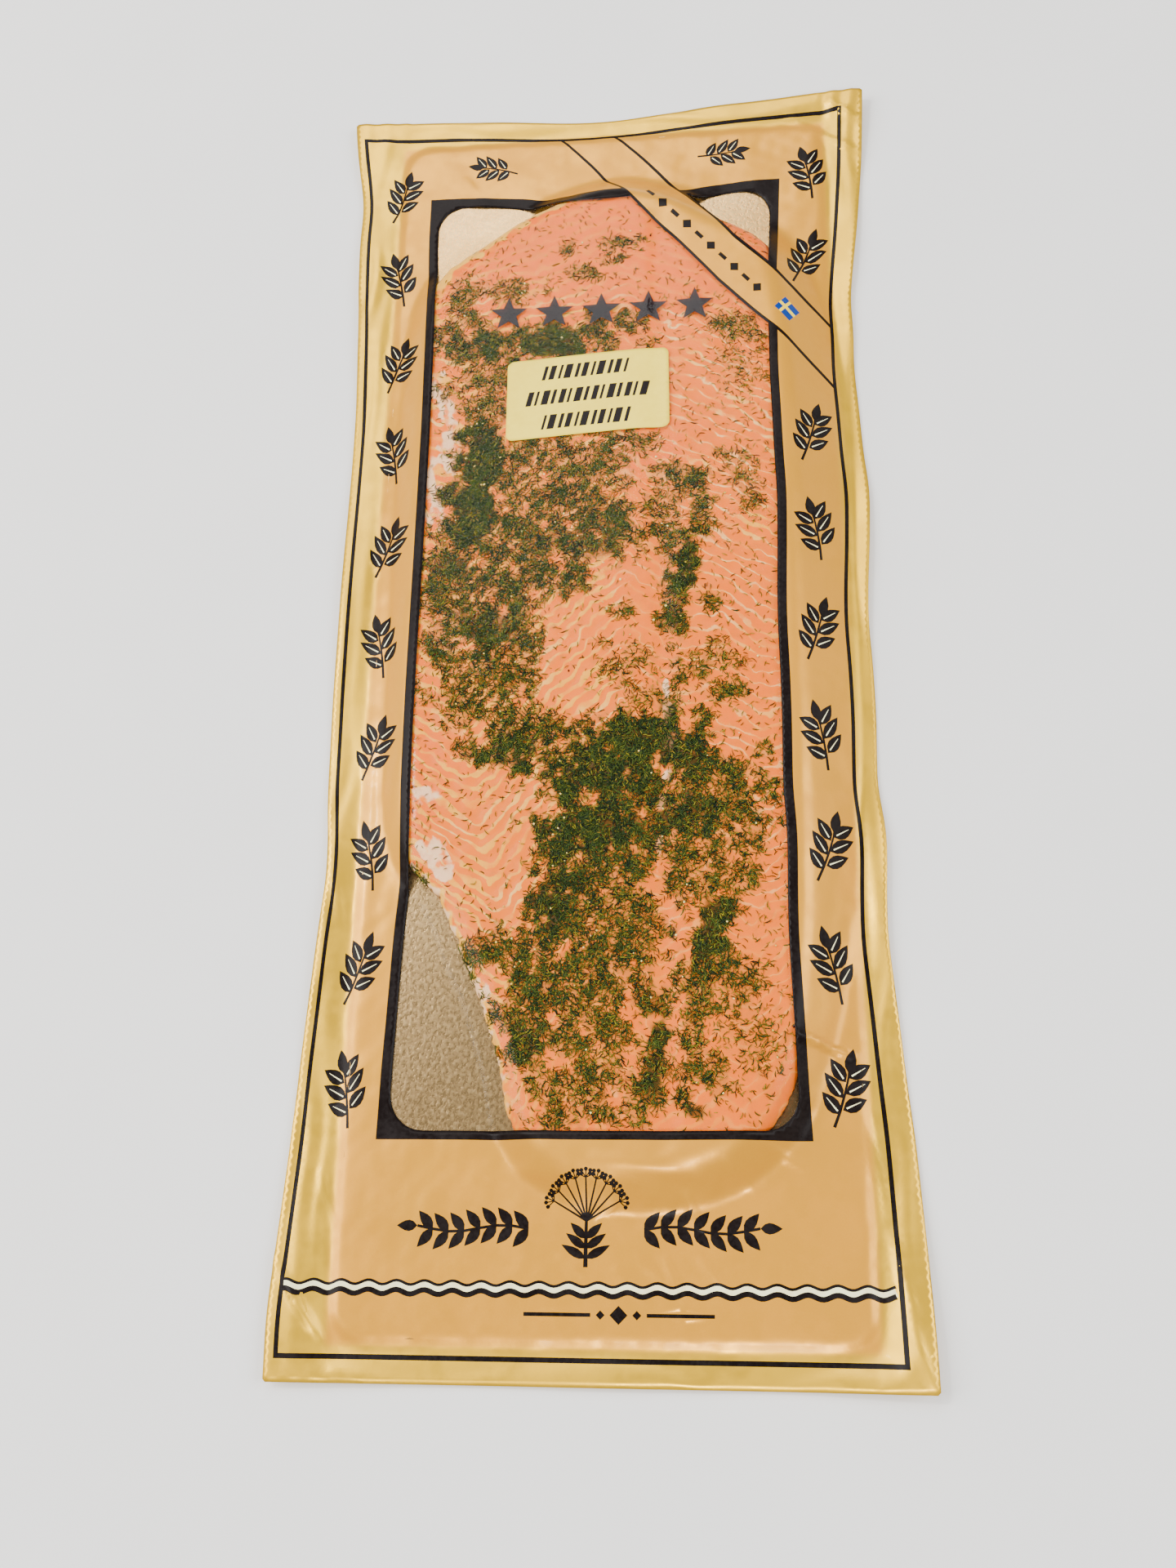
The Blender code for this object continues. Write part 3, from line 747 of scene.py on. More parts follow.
@dataclass(frozen=True)
class GoldFilm:
    """The gold satin face of the pouch's film: tan where it lies on the board and yellower in the rim."""

    over_board: Colour = srgb(220, 150, 26)
    deep: Colour = srgb(206, 136, 20)
    rim: Colour = srgb(230, 180, 18)
    pale: Colour = srgb(240, 190, 70)
    metallic: float = 0.35
    rim_metallic: float = 0.62
    roughness: float = 0.36

    def material(self, name: str, effects: SharedEffects) -> bpy.types.Material:
        """The gold finish, which reads the mask "rim" of its mesh."""
        made, w, shader = new_material(name)
        blots = effects.add(w, effects.mottle, Large=26.0, Small=5.0, Small_share=0.35)
        board = w.mix(w.math("MULTIPLY", blots, 0.5), self.over_board, self.deep)
        colour = w.mix(w.mask("rim"), board, self.rim)
        fine = w.noise(w.place(), 0.5, 2)
        colour = w.mix(w.math("MULTIPLY", fine, 0.18), colour, self.pale)
        skin = effects.add(w, effects.film_skin, Peel=0.7, Lines=0.25)
        dress(w, shader, {
            "Base Color": colour, "Metallic": w.rise(w.mask("rim"), 0, 1, self.metallic, self.rim_metallic),
            "Roughness": w.rise(blots, 0, 1, self.roughness - 0.05, self.roughness + 0.07),
            "Normal": w.bump(skin, 0.1), "Specular IOR Level": 0.2, "Coat Weight": 0.1, "Coat Roughness": 0.14,
        })
        return made


@dataclass(frozen=True)
class PrintInk:
    """An ink printed on the film."""

    colour: Colour
    roughness: float = 0.36
    metallic: float = 0.0

    def material(self, name: str, effects: SharedEffects) -> bpy.types.Material:
        """The ink, with the film's skin and faint wear."""
        made, w, shader = new_material(name)
        blots = effects.add(w, effects.mottle, Large=14.0, Small=1.5, Small_share=0.5)
        lighter = tuple(min(1.0, c * 1.35 + 0.004) for c in self.colour[:3]) + (1.0,)
        skin = effects.add(w, effects.film_skin, Peel=0.7, Lines=0.25)
        dress(w, shader, {
            "Base Color": w.mix(blots, self.colour, lighter), "Metallic": self.metallic,
            "Roughness": w.rise(blots, 0, 1, self.roughness - 0.04, self.roughness + 0.06),
            "Normal": w.bump(skin, 0.1), "Specular IOR Level": 0.09,
        })
        return made


@dataclass(frozen=True)
class ClearFilm:
    """Clear film drawn tight over the fish: see-through, with a thin gloss that breaks up over the dill."""

    tint: Colour = (0.97, 0.97, 0.96, 1.0)
    glare: Colour = (0.9, 0.9, 0.9, 1.0)
    gloss: float = 1.09
    most_shine: float = 0.05
    roughness: float = 0.1

    def material(
        self, name: str, effects: SharedEffects, ink: Colour | None = None, cover: float = 0.0,
    ) -> bpy.types.Material:
        """The clear finish, or the same film under a thin ink that covers so much."""
        made, w, shader = new_material(name)
        skin = effects.add(w, effects.film_skin, Peel=1.0, Lines=0.1)
        lumps = w.noise(w.place(), 2.6, 2, 0.5)
        normal = w.bump(lumps, 0.07, w.bump(skin, 0.04))
        dress(w, shader, {"Base Color": ink or self.glare, "Metallic": 0.0 if ink else 1.0,
                          "Specular IOR Level": 0.2, "Roughness": self.roughness, "Normal": normal})
        clear = w.put("ShaderNodeBsdfTransparent", {"Color": self.tint})
        fresnel = w.put("ShaderNodeFresnel", {"IOR": self.gloss, "Normal": normal}).outputs[0]
        shine = w.math("MINIMUM", fresnel, self.most_shine)
        share = w.math("MAXIMUM", shine, cover) if ink else shine
        mixed = w.put("ShaderNodeMixShader", {0: share, 1: clear.outputs[0], 2: shader.outputs[0]})
        w.tree.links.new(mixed.outputs[0], w.tree.nodes["Material Output"].inputs["Surface"])
        return made


@dataclass(frozen=True)
class FoilBoard:
    """The warm metallic face of the board, with a fine leathery grain, and painted shade that makes it greyer
    towards its foot.
    """

    colour: Colour = srgb(220, 176, 112)
    dark: Colour = srgb(200, 156, 94)
    # painted shade: the greyer colour that the board takes towards its foot
    foot: Colour = srgb(172, 142, 98)
    glint: Colour = srgb(244, 212, 156)

    def material(self, name: str, effects: SharedEffects) -> bpy.types.Material:
        """The board's finish."""
        made, w, shader = new_material(name)
        grain = w.noise(w.place((1.0, 0.8, 1.0), 20), 1.5, 4, 0.6)
        blots = effects.add(w, effects.mottle, Large=30.0, Small=3.0, Small_share=0.3)
        colour = w.mix(blots, self.colour, self.dark)
        along = w.put("ShaderNodeSeparateXYZ", {0: w.place()}).outputs[1]
        # painted shade: greys the board towards its foot, the low end in y
        colour = w.mix(w.rise(along, -0.02, -0.11, 0.0, 0.85), colour, self.foot)
        colour = w.mix(w.rise(grain, 0.5, 0.75, 0.0, 0.3), colour, self.glint)
        dress(w, shader, {
            "Base Color": colour, "Metallic": 0.97, "Roughness": w.rise(grain, 0.3, 0.7, 0.24, 0.34),
            "Normal": w.bump(grain, 0.14),
        })
        return made


@dataclass(frozen=True)
class CuredFlesh:
    """Cured salmon: orange-pink flesh, pale wavy lines, fat at the edges and dark wet places under the dill."""

    flesh: Colour = srgb(252, 118, 6)
    pink: Colour = srgb(246, 106, 22)
    deep: Colour = srgb(242, 106, 4)
    line: Colour = srgb(252, 174, 48)
    pale_line: Colour = srgb(252, 200, 132)
    fat: Colour = srgb(250, 204, 160)
    orange: Colour = srgb(246, 118, 2)
    rind: Colour = srgb(250, 188, 66)
    tan: Colour = srgb(198, 116, 44)
    stain: Colour = srgb(40, 44, 20)
    line_half: float = 0.125

    def material(self, name: str, effects: SharedEffects) -> bpy.types.Material:
        """The flesh, which reads the masks that the fish's mesh stores."""
        made, w, shader = new_material(name)
        place = w.place()
        wobble, fine = w.sway(place, 5, 0.5, 4, 0.55), w.sway(place, 1.3, 0.12, 2)
        phase = w.math("ADD", w.math("ADD", w.mask("phase"), wobble), fine)
        off = w.math("ABSOLUTE", w.math("SUBTRACT", w.math("FRACT", phase), 0.5))
        wide = w.math("ADD", w.noise(place, 12, 2), w.math("MULTIPLY", w.mask("broad"), 0.3))
        width = w.rise(wide, 0.4, 0.9, 0.5 - 0.5 * self.line_half, 0.5 - 1.9 * self.line_half)
        thin = w.rise(w.math("SUBTRACT", off, width), 0.0, 0.07)
        vary = w.rise(w.noise(place, 10, 3), 0.38, 0.58, 0.15, 1.0)
        lines = w.math("MULTIPLY", w.math("MULTIPLY", thin, vary), w.mask("lined"), clamp=True)
        halo = w.math("MULTIPLY", w.rise(off, 0.2, 0.5), 0.15)
        blots = effects.add(w, effects.mottle, Large=30.0, Small=7.0, Small_share=0.4)
        colour = w.mix(w.math("MULTIPLY", blots, 0.55), self.flesh, self.deep)
        colour = w.mix(w.mask("pink"), colour, self.pink)
        colour = w.mix(w.mask("orange"), colour, self.orange)
        colour = w.mix(halo, colour, self.line)
        line = w.mix(w.mask("broad"), self.pale_line, self.line)
        colour = w.mix(w.math("MULTIPLY", lines, 0.9), colour, line)
        rind = w.rise(w.math("ADD", w.mask("rind"), w.sway(place, 3, 0.8, 4, 0.6)), 0.25, 0.7)
        colour = w.mix(w.math("MULTIPLY", rind, 0.9), colour, self.rind)
        torn = w.rise(w.math("ADD", w.mask("fat"), w.sway(place, 4, 0.9, 4, 0.6)), 0.3, 0.62)
        colour = w.mix(w.math("MULTIPLY", torn, 0.9), colour, self.fat)
        soaked = w.math("ADD", w.mask("stain"), w.sway(place, 3.5, 0.6, 4, 0.6))
        colour = w.mix(w.rise(soaked, -0.04, 0.3, 0.0, 0.72), colour, self.tan)
        colour = w.mix(w.rise(soaked, 0.22, 0.95, 0.0, 0.92), colour, self.stain)
        grain = w.noise(place, 0.7, 3, 0.6)
        height = w.math("ADD", w.math("MULTIPLY", lines, 0.5), w.math("MULTIPLY", grain, 0.4))
        dress(w, shader, {
            "Base Color": colour, "Roughness": w.rise(grain, 0.3, 0.7, 0.3, 0.42),
            "Normal": w.bump(height, 0.12),
            "Specular IOR Level": 0.12, "Subsurface Weight": 0.12, "Subsurface Radius": (1.0, 0.35, 0.2),
            "Subsurface Scale": 2 * MM,
        })
        return made


@dataclass(frozen=True)
class DillGreen:
    """Chopped dill: each piece has its own shade between two greens, which the scatter stores as "shade"."""

    dark: Colour
    light: Colour
    roughness: float = 0.42

    def material(self, name: str) -> bpy.types.Material:
        """The dill's finish."""
        made, w, shader = new_material(name)
        shade = w.math("ADD", w.mask("shade"), w.sway(w.place(), 1.5, 0.5, 2))
        colour = w.mix(w.rise(shade, 0.0, 1.0), self.dark, self.light)
        dress(w, shader, {
            "Base Color": colour, "Roughness": w.rise(shade, 0, 1, self.roughness - 0.06, self.roughness + 0.1),
            "Normal": w.bump(w.noise(w.place(), 0.4, 2), 0.04), "Specular IOR Level": 0.15,
        })
        return made


@dataclass(frozen=True)
class LabelPaper:
    """The pale yellow paper of the label."""

    colour: Colour = srgb(250, 222, 66)
    shade: Colour = srgb(242, 212, 56)

    def material(self, name: str, effects: SharedEffects) -> bpy.types.Material:
        """The paper's finish."""
        made, w, shader = new_material(name)
        blots = effects.add(w, effects.mottle, Large=22.0, Small=3.0, Small_share=0.4)
        fibre = w.noise(w.place((1, 0.4, 1)), 0.35, 3, 0.6)
        colour = w.mix(blots, self.colour, self.shade)
        dress(w, shader, {"Base Color": colour, "Roughness": w.rise(fibre, 0.3, 0.7, 0.42, 0.52),
                          "Normal": w.bump(fibre, 0.04), "Specular IOR Level": 0.25})
        return made


# Print of the front film


class Ink(IntEnum):
    """What a field of the front film is filled with, in the order of the film's finishes."""

    GOLD = 0
    DARK = 1
    CREAM = 2
    BLUE = 3
    YELLOW = 4
    CLEAR = 5
    STAR = 6


@dataclass(frozen=True)
class PrintField:
    """One printed field: an outline on the flat pouch and its ink. Later fields cover earlier ones."""

    outline: Outline
    ink: Ink


@dataclass(frozen=True)
class PrintLayout:
    """The print on the flat pouch: border, window frame, diagonal band, waves and plain plant ornament."""

    border: tuple = (-115.4, 109.5, -271.2, 270.3)
    border_line: float = 1.8
    frame: tuple = (-84.2, 81.9, -195.6, 234.6)
    window: tuple = (-79.7, 77.6, -192.3, 229.7)
    window_corner: float = 14
    band_lower: tuple = ((-20.6, 270.2), (54, 180.9), (109.5, 122.6))
    band_upper: tuple = ((4.6, 270.2), (60.9, 202.6), (109.5, 154.6))
    band_line: float = 1.3
    wave_length: float = 10.6
    wave_height: float = 0.75
    wave_v: float = -245.9
    side_sprigs: tuple = (236, 190, 144, 98, 52, 6, -40, -86, -132, -178)
    left_u: float = -98.5
    right_u: float = 95.5
    star_v: float = 168.5
    star_gap: float = 21.5
    star_outer: float = 9.2
    star_inner: float = 3.9
    foot_centre: tuple = (-2.0, -223.0)
    divider: tuple = (10.0, -256.0)
    band_row: tuple = ((22.0, 230.5), (72.5, 174.5))
    flag: tuple = (87.2, 161.6)

    def fields(self, pouch: Pouch) -> list[PrintField]:
        """Every field in the order of printing, the bare gold pouch first."""
        left, right, bottom, top = self.border
        half = self.border_line / 2
        made = [
            PrintField(pouch.outline(2.0), Ink.GOLD),
            PrintField(closer(rectangle(left - half, right + half, bottom - half, top + half), 2.0), Ink.DARK),
            PrintField(closer(rectangle(left + half, right - half, bottom + half, top - half), 2.0), Ink.GOLD),
        ]
        made += self.waves() + self.sprigs() + self.foot()
        made.append(PrintField(closer(rectangle(*self.frame), 2.0), Ink.DARK))
        made.append(PrintField(closer(rectangle(*self.window, self.window_corner), 2.0), Ink.CLEAR))
        for number in range(-2, 3):
            centre = (number * self.star_gap - 0.5, self.star_v)
            star = regular_star(centre, self.star_outer, self.star_inner)
            made.append(PrintField(closer(star, 1.5), Ink.STAR))
        return made + self.band()

    def waves(self) -> list[PrintField]:
        """Two wavy lines with a cream strip between, from border to border."""
        half = self.border_line / 2
        u = np.arange(self.border[0] + half, self.border[1] - half + 0.1, 1.1)
        v = self.wave_v + self.wave_height * np.sin(math.tau * u / self.wave_length)
        return [
            PrintField(stroke(list(zip(u, v - 1.7)), 3.4), Ink.CREAM),
            PrintField(stroke(list(zip(u, v)), 1.0), Ink.DARK),
            PrintField(stroke(list(zip(u, v - 3.2)), 1.9), Ink.DARK),
        ]

    def sprig(self, centre: Point, turn: float, size: float = 1.0, mirror: bool = False) -> list[PrintField]:
        """A plain leafy sprig about 25 long."""
        stem = [(-1.5, -12.5), (-0.6, -7), (0, -1), (0.3, 5), (0, 8)]
        parts = [(stroke(stem, 1.1, 0.6), Ink.DARK)]
        for number, (y, spread, length) in enumerate(((-7, 52, 9.5), (-1.5, 46, 10.5), (4, 40, 9.5))):
            for side in (-1, 1):
                way = 90 - side * (spread + 3 * number)
                base = (side * 0.3, y + 0.8 * side)
                parts.append((leaf(base, way, length, 4.9), Ink.DARK))
                tip = (base[0] + 0.75 * length * math.cos(math.radians(way)),
                       base[1] + 0.75 * length * math.sin(math.radians(way)))
                start = (base[0] + 0.2 * (tip[0] - base[0]), base[1] + 0.2 * (tip[1] - base[1]))
                parts.append((stroke([start, tip], 0.55, 0.3), Ink.CREAM))
        parts.append((leaf((0, 6.5), 88, 8.5, 4.2), Ink.DARK))
        return [PrintField(placed(outline, centre, turn, size, mirror), ink) for outline, ink in parts]

    def sprigs(self) -> list[PrintField]:
        """Sprigs up both sides, leaning one way and the other, and two lying along the top."""
        made: list[PrintField] = []
        for number, v in enumerate(self.side_sprigs):
            lean = 16 if number % 2 else -16
            made += self.sprig((self.left_u, v), lean, 1.1)
            if not 110 < v < 180:
                made += self.sprig((self.right_u, v), -lean, 1.1)
        made += self.sprig((-52, 251.5), 82, 0.9) + self.sprig((55, 251.5), -82, 0.9)
        return made

    def foot(self) -> list[PrintField]:
        """An umbel between two garlands of leaves, with a thin divider under them."""
        x, y = self.foot_centre
        made: list[Outline] = []
        for ray in range(-4, 5):
            way = math.radians(90 + 17 * ray)
            tip = (x + 13 * math.cos(way), y + 1 + 13 * math.sin(way))
            made.append(stroke([(x, y - 1), tip], 0.8, 0.7))
            for small in range(-2, 3):
                out = way + math.radians(33 * small)
                dot = (tip[0] + 3 * math.cos(out), tip[1] + 3 * math.sin(out))
                made += [stroke([tip, dot], 0.4), ellipse(dot, 0.8, 0.8, 6)]
        made.append(stroke([(x, y - 17), (x, y - 1)], 1.6, 0.7))
        middle, low = self.divider
        for side in (-1, 1):
            for number in range(3):
                made.append(leaf((x, y - 14 + 3.4 * number), 90 - side * (62 - 8 * number), 10 - number, 3.2))
            start = x + side * 21
            path = [(start + side * step, y - 4 + 1.2 * math.sin(step / 6)) for step in range(0, 43, 6)]
            made.append(stroke(path if side > 0 else path[::-1], 1.0))
            for base in path[:-1]:
                made += [leaf(base, 90 - side * 42, 8.6, 4.0), leaf(base, -90 + side * 42, 8.6, 4.0)][::-1]
            made.append(leaf(path[-1], 0 if side > 0 else 180, 8, 4))
            line = [(middle + side * 10, low), (middle + side * 34, low)]
            made.append(stroke(line[::side], 1.3))
        for u, size in ((middle, 3.2), (middle - 6.5, 1.6), (middle + 6.5, 1.6)):
            made.append([(u, low - size), (u + size, low), (u, low + size), (u - size, low)])
        return [PrintField(outline, Ink.DARK) for outline in made]

    def band(self) -> list[PrintField]:
        """The diagonal band over the window's corner, with a row of lozenges and a small blue flag."""
        half = self.border_line / 2
        top, right = self.border[3] - half, self.border[1] - half

        def cut(line: tuple, lift: float) -> Outline:
            """The line moved up by lift and cut at the border."""
            (a, b), (c, d), (e, f) = ((u, v + lift) for u, v in line)
            start = (a + (top - b) * (c - a) / (d - b), top)
            return [start, (c, d), (right, f + (right - e) * (f - d) / (e - c))]

        lift = self.band_line * 0.78
        outer = cut(self.band_lower, -lift) + cut(self.band_upper, lift)[::-1]
        inner = cut(self.band_lower, lift) + cut(self.band_upper, -lift)[::-1]
        made = [PrintField(closer(outer, 2.0), Ink.DARK), PrintField(closer(inner, 2.0), Ink.GOLD)]
        start, end = np.array(self.band_row)
        turn = math.degrees(math.atan2(*(end - start)[::-1]))
        for number in range(10):
            middle = tuple(start + (end - start) * number / 9)
            dash, diamond = rectangle(-2.4, 2.4, -0.9, 0.9), [(-2.9, 0), (0, -2.5), (2.9, 0), (0, 2.5)]
            lozenge = diamond if number % 2 else dash
            made.append(PrintField(placed(lozenge, middle, turn), Ink.DARK))
        for sides, ink in (((-5.2, 5.2, -3.7, 3.7), Ink.BLUE), ((-2.2, -0.7, -3.7, 3.7), Ink.YELLOW),
                           ((-5.2, 5.2, -0.75, 0.75), Ink.YELLOW)):
            made.append(PrintField(placed(rectangle(*sides), self.flag, turn), ink))
        return made


@dataclass
class PouchFilms:
    """The pouch's front and back sheets."""

    film: FilmForm
    layout: PrintLayout
    step: float = 1.55
    back_step: float = 2.7
    back_thickness: float = 0.2

    def rim_mask(self, x: Array, y: Array) -> Array:
        """1 in the rim outside the board, 0 over it."""
        return smoothstep(0.5, 4, self.film.board.past(x, y))

    def front(self, finishes: Sequence[bpy.types.Material]) -> list[bpy.types.Object]:
        """The printed sheet and the clear window.

        Args:
            finishes: a material for each ink, in order.

        Returns:
            The printed piece and the window piece.
        """
        pouch = self.film.pouch
        fields = self.layout.fields(pouch)
        box = (-pouch.width / 2, pouch.width / 2, -pouch.length / 2, pouch.length / 2)
        outlines = [f.outline for f in fields]
        flat, tris, origins = triangulated(outlines, free_points(self.step, box, outlines))
        inks = np.array([fields[max(held)].ink for held in origins])
        x, y = self.film.laid(flat[:, 0], flat[:, 1])
        top = np.stack([x, y, self.film.front(x, y)], 1)
        pieces = []
        see_through = inks >= Ink.CLEAR
        for name, kept, node, slot in (("gold_front_film", ~see_through, "front_film", "front_film"),
                                       ("clear_window_film", see_through, "window_film", "window")):
            used, numbers = np.unique(tris[kept], return_inverse=True)
            verts = top[used]
            under = verts - (0, 0, self.film.thickness)
            shift = 0 if name == "gold_front_film" else Ink.CLEAR
            verts, tri, ink = thickened(verts, numbers.reshape(-1, 3), inks[kept] - shift, under)
            mesh = mesh_from(name, verts, tri, ink)
            set_mask(mesh, "rim", self.rim_mask(verts[:, 0], verts[:, 1]))
            chosen = finishes[:Ink.CLEAR] if shift == 0 else finishes[Ink.CLEAR:]
            piece = add_piece(name, mesh, chosen)
            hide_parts(node)
            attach(piece, BODY)
            LOG.info("%s: %d faces", name, len(mesh.polygons))
            pieces.append(piece)
        return pieces

    def back(self, finish: bpy.types.Material) -> bpy.types.Object:
        """The plain gold back sheet, which ends in the front sheet's edge."""
        pouch = self.film.pouch
        outline = pouch.outline(2.0)
        box = (-pouch.width / 2, pouch.width / 2, -pouch.length / 2, pouch.length / 2)
        flat, tris, _ = triangulated([outline], free_points(self.back_step, box, [outline]))
        x, y = pouch.drawn_in(flat[:, 0], flat[:, 1])
        low = np.stack([x, y, self.film.back(x, y)], 1)
        verts, tri, ink = thickened(low + (0, 0, self.back_thickness), tris, np.zeros(len(tris), int), low)
        mesh = mesh_from("gold_back_film", verts, tri, ink)
        set_mask(mesh, "rim", self.rim_mask(verts[:, 0], verts[:, 1]))
        piece = add_piece("gold_back_film", mesh, [finish])
        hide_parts("back_film")
        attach(piece, BODY)
        LOG.info("gold_back_film: %d faces", len(mesh.polygons))
        return piece


# Fish


@dataclass(frozen=True)
class Blot:
    """A patch on the fish: its middle, its reach along and across, its turn in degrees and its strength."""

    x: float
    y: float
    along: float
    across: float
    turn: float = 0.0
    share: float = 1.0

    def at(self, x: Array, y: Array, ragged: Array) -> Array:
        """The patch's strength at these places, with an edge that wanders by the ragged values."""
        c, s = math.cos(math.radians(self.turn)), math.sin(math.radians(self.turn))
        dx, dy = x - self.x, y - self.y
        away = np.hypot((c * dx + s * dy) / self.along, (c * dy - s * dx) / self.across)
        return self.share * smoothstep(1.36, 0.62, away + ragged)


def patches(blots: Sequence[Blot], x: Array, y: Array, ragged: Array) -> Array:
    """The strongest of the blots at each place."""
    return np.maximum.reduce([blot.at(x, y, ragged) for blot in blots])


@dataclass(frozen=True)
class MuscleLines:
    """The pale lines between the muscle blocks, as one number that rises by 1 from each line to the next.

    The lines run in a W across the fish. Their directions are known in strips between the V line, the peak line,
    the mid line, the knee and the seam. The number is the one whose slopes follow those directions most closely.
    """

    step: float = 2.0
    levels: tuple = (215, 170, 125, 70, 10, -45, -85, -120, -160, -200)
    edges: tuple = (
        (-60, -60, -60, -60, -58, -52, -43, -33, -31, -30), (6, 8, 10, 12, 13, 10, 6, 3, 2, 2),
        (14, 16, 20, 23, 29, 30, 27, 25, 24, 24), (40, 42, 44, 46, 50, 50, 50, 48, 48, 48),
        (44, 46, 49, 56, 63, 64, 64, 61, 58, 56),
    )
    turns: tuple = (
        (-12, -12, -14, -18, -14, -32, -36, -32, -46, -60), (4, 10, 28, 38, 53, 51, 50, 60, 92, 100),
        (-28, -32, -36, -36, -44, -44, -36, -30, -20, -10), (-30, -34, -28, -22, 2, 8, 18, 28, 40, 45),
        (-40, -42, -43, -30, -45, -46, -46, -42, -36, -30), (-38, -42, -45, -32, -27, 4, 26, 32, 60, 70),
    )
    gaps: tuple = (
        (5.5, 5.5, 5.5, 5, 4.8, 4.6, 3.6, 3.4, 3.4, 3.4), (6, 6, 5.6, 5.2, 5, 5, 5, 4.6, 4.2, 4.2),
        (6, 6, 6, 5.6, 5.2, 5, 5, 4.6, 4.4, 4.4), (6.4, 6.4, 6.2, 5.8, 5.4, 5.2, 5, 5, 5, 5),
        (6, 6, 6, 5.6, 5.2, 5, 5, 5, 5, 5), (5.6, 5.6, 5.4, 5, 4.6, 4.6, 4.8, 5, 5, 5),
    )

    def number_at(self, x: Array, y: Array) -> Array:
        """The lines' number at these places."""
        gy, gx = np.mgrid[-224:242:self.step, -94:98:self.step]
        levels = np.array(self.levels[::-1], float)

        def down(values: tuple) -> Array:
            """Values given by level, at each row of the grid."""
            return np.interp(gy, levels, np.array(values[::-1], float))

        turn, gap = down(self.turns[0]), down(self.gaps[0])
        for number, edge in enumerate(self.edges):
            past = smoothstep(-2.5, 2.5, gx - down(edge))
            turn = turn + past * (down(self.turns[number + 1]) - turn)
            gap = gap + past * (down(self.gaps[number + 1]) - gap)
        turn = np.radians(turn + 5 * Ripple(34, 71).at(gx, gy))
        slope_x, slope_y = -np.sin(turn) / gap * self.step, np.cos(turn) / gap * self.step
        flow_x = 0.5 * (slope_x[:, 1:] + slope_x[:, :-1])
        flow_y = 0.5 * (slope_y[1:] + slope_y[:-1])
        source = np.zeros(gx.shape)
        source[:, :-1] += flow_x
        source[:, 1:] -= flow_x
        source[:-1] += flow_y
        source[1:] -= flow_y
        rows, columns = source.shape
        wide = np.concatenate([source, source[:, ::-1]], 1)
        whole = np.fft.fft2(np.concatenate([wide, wide[::-1]], 0))
        weight = (2 * np.cos(math.pi * np.arange(2 * rows) / rows) - 2)[:, None] + (
            2 * np.cos(math.pi * np.arange(2 * columns) / columns) - 2)[None]
        weight[0, 0] = 1
        whole[0, 0] = 0
        solved = np.real(np.fft.ifft2(whole / weight))[:rows, :columns]
        return HeightGrid(-94, -224, self.step, solved).at(x, y)


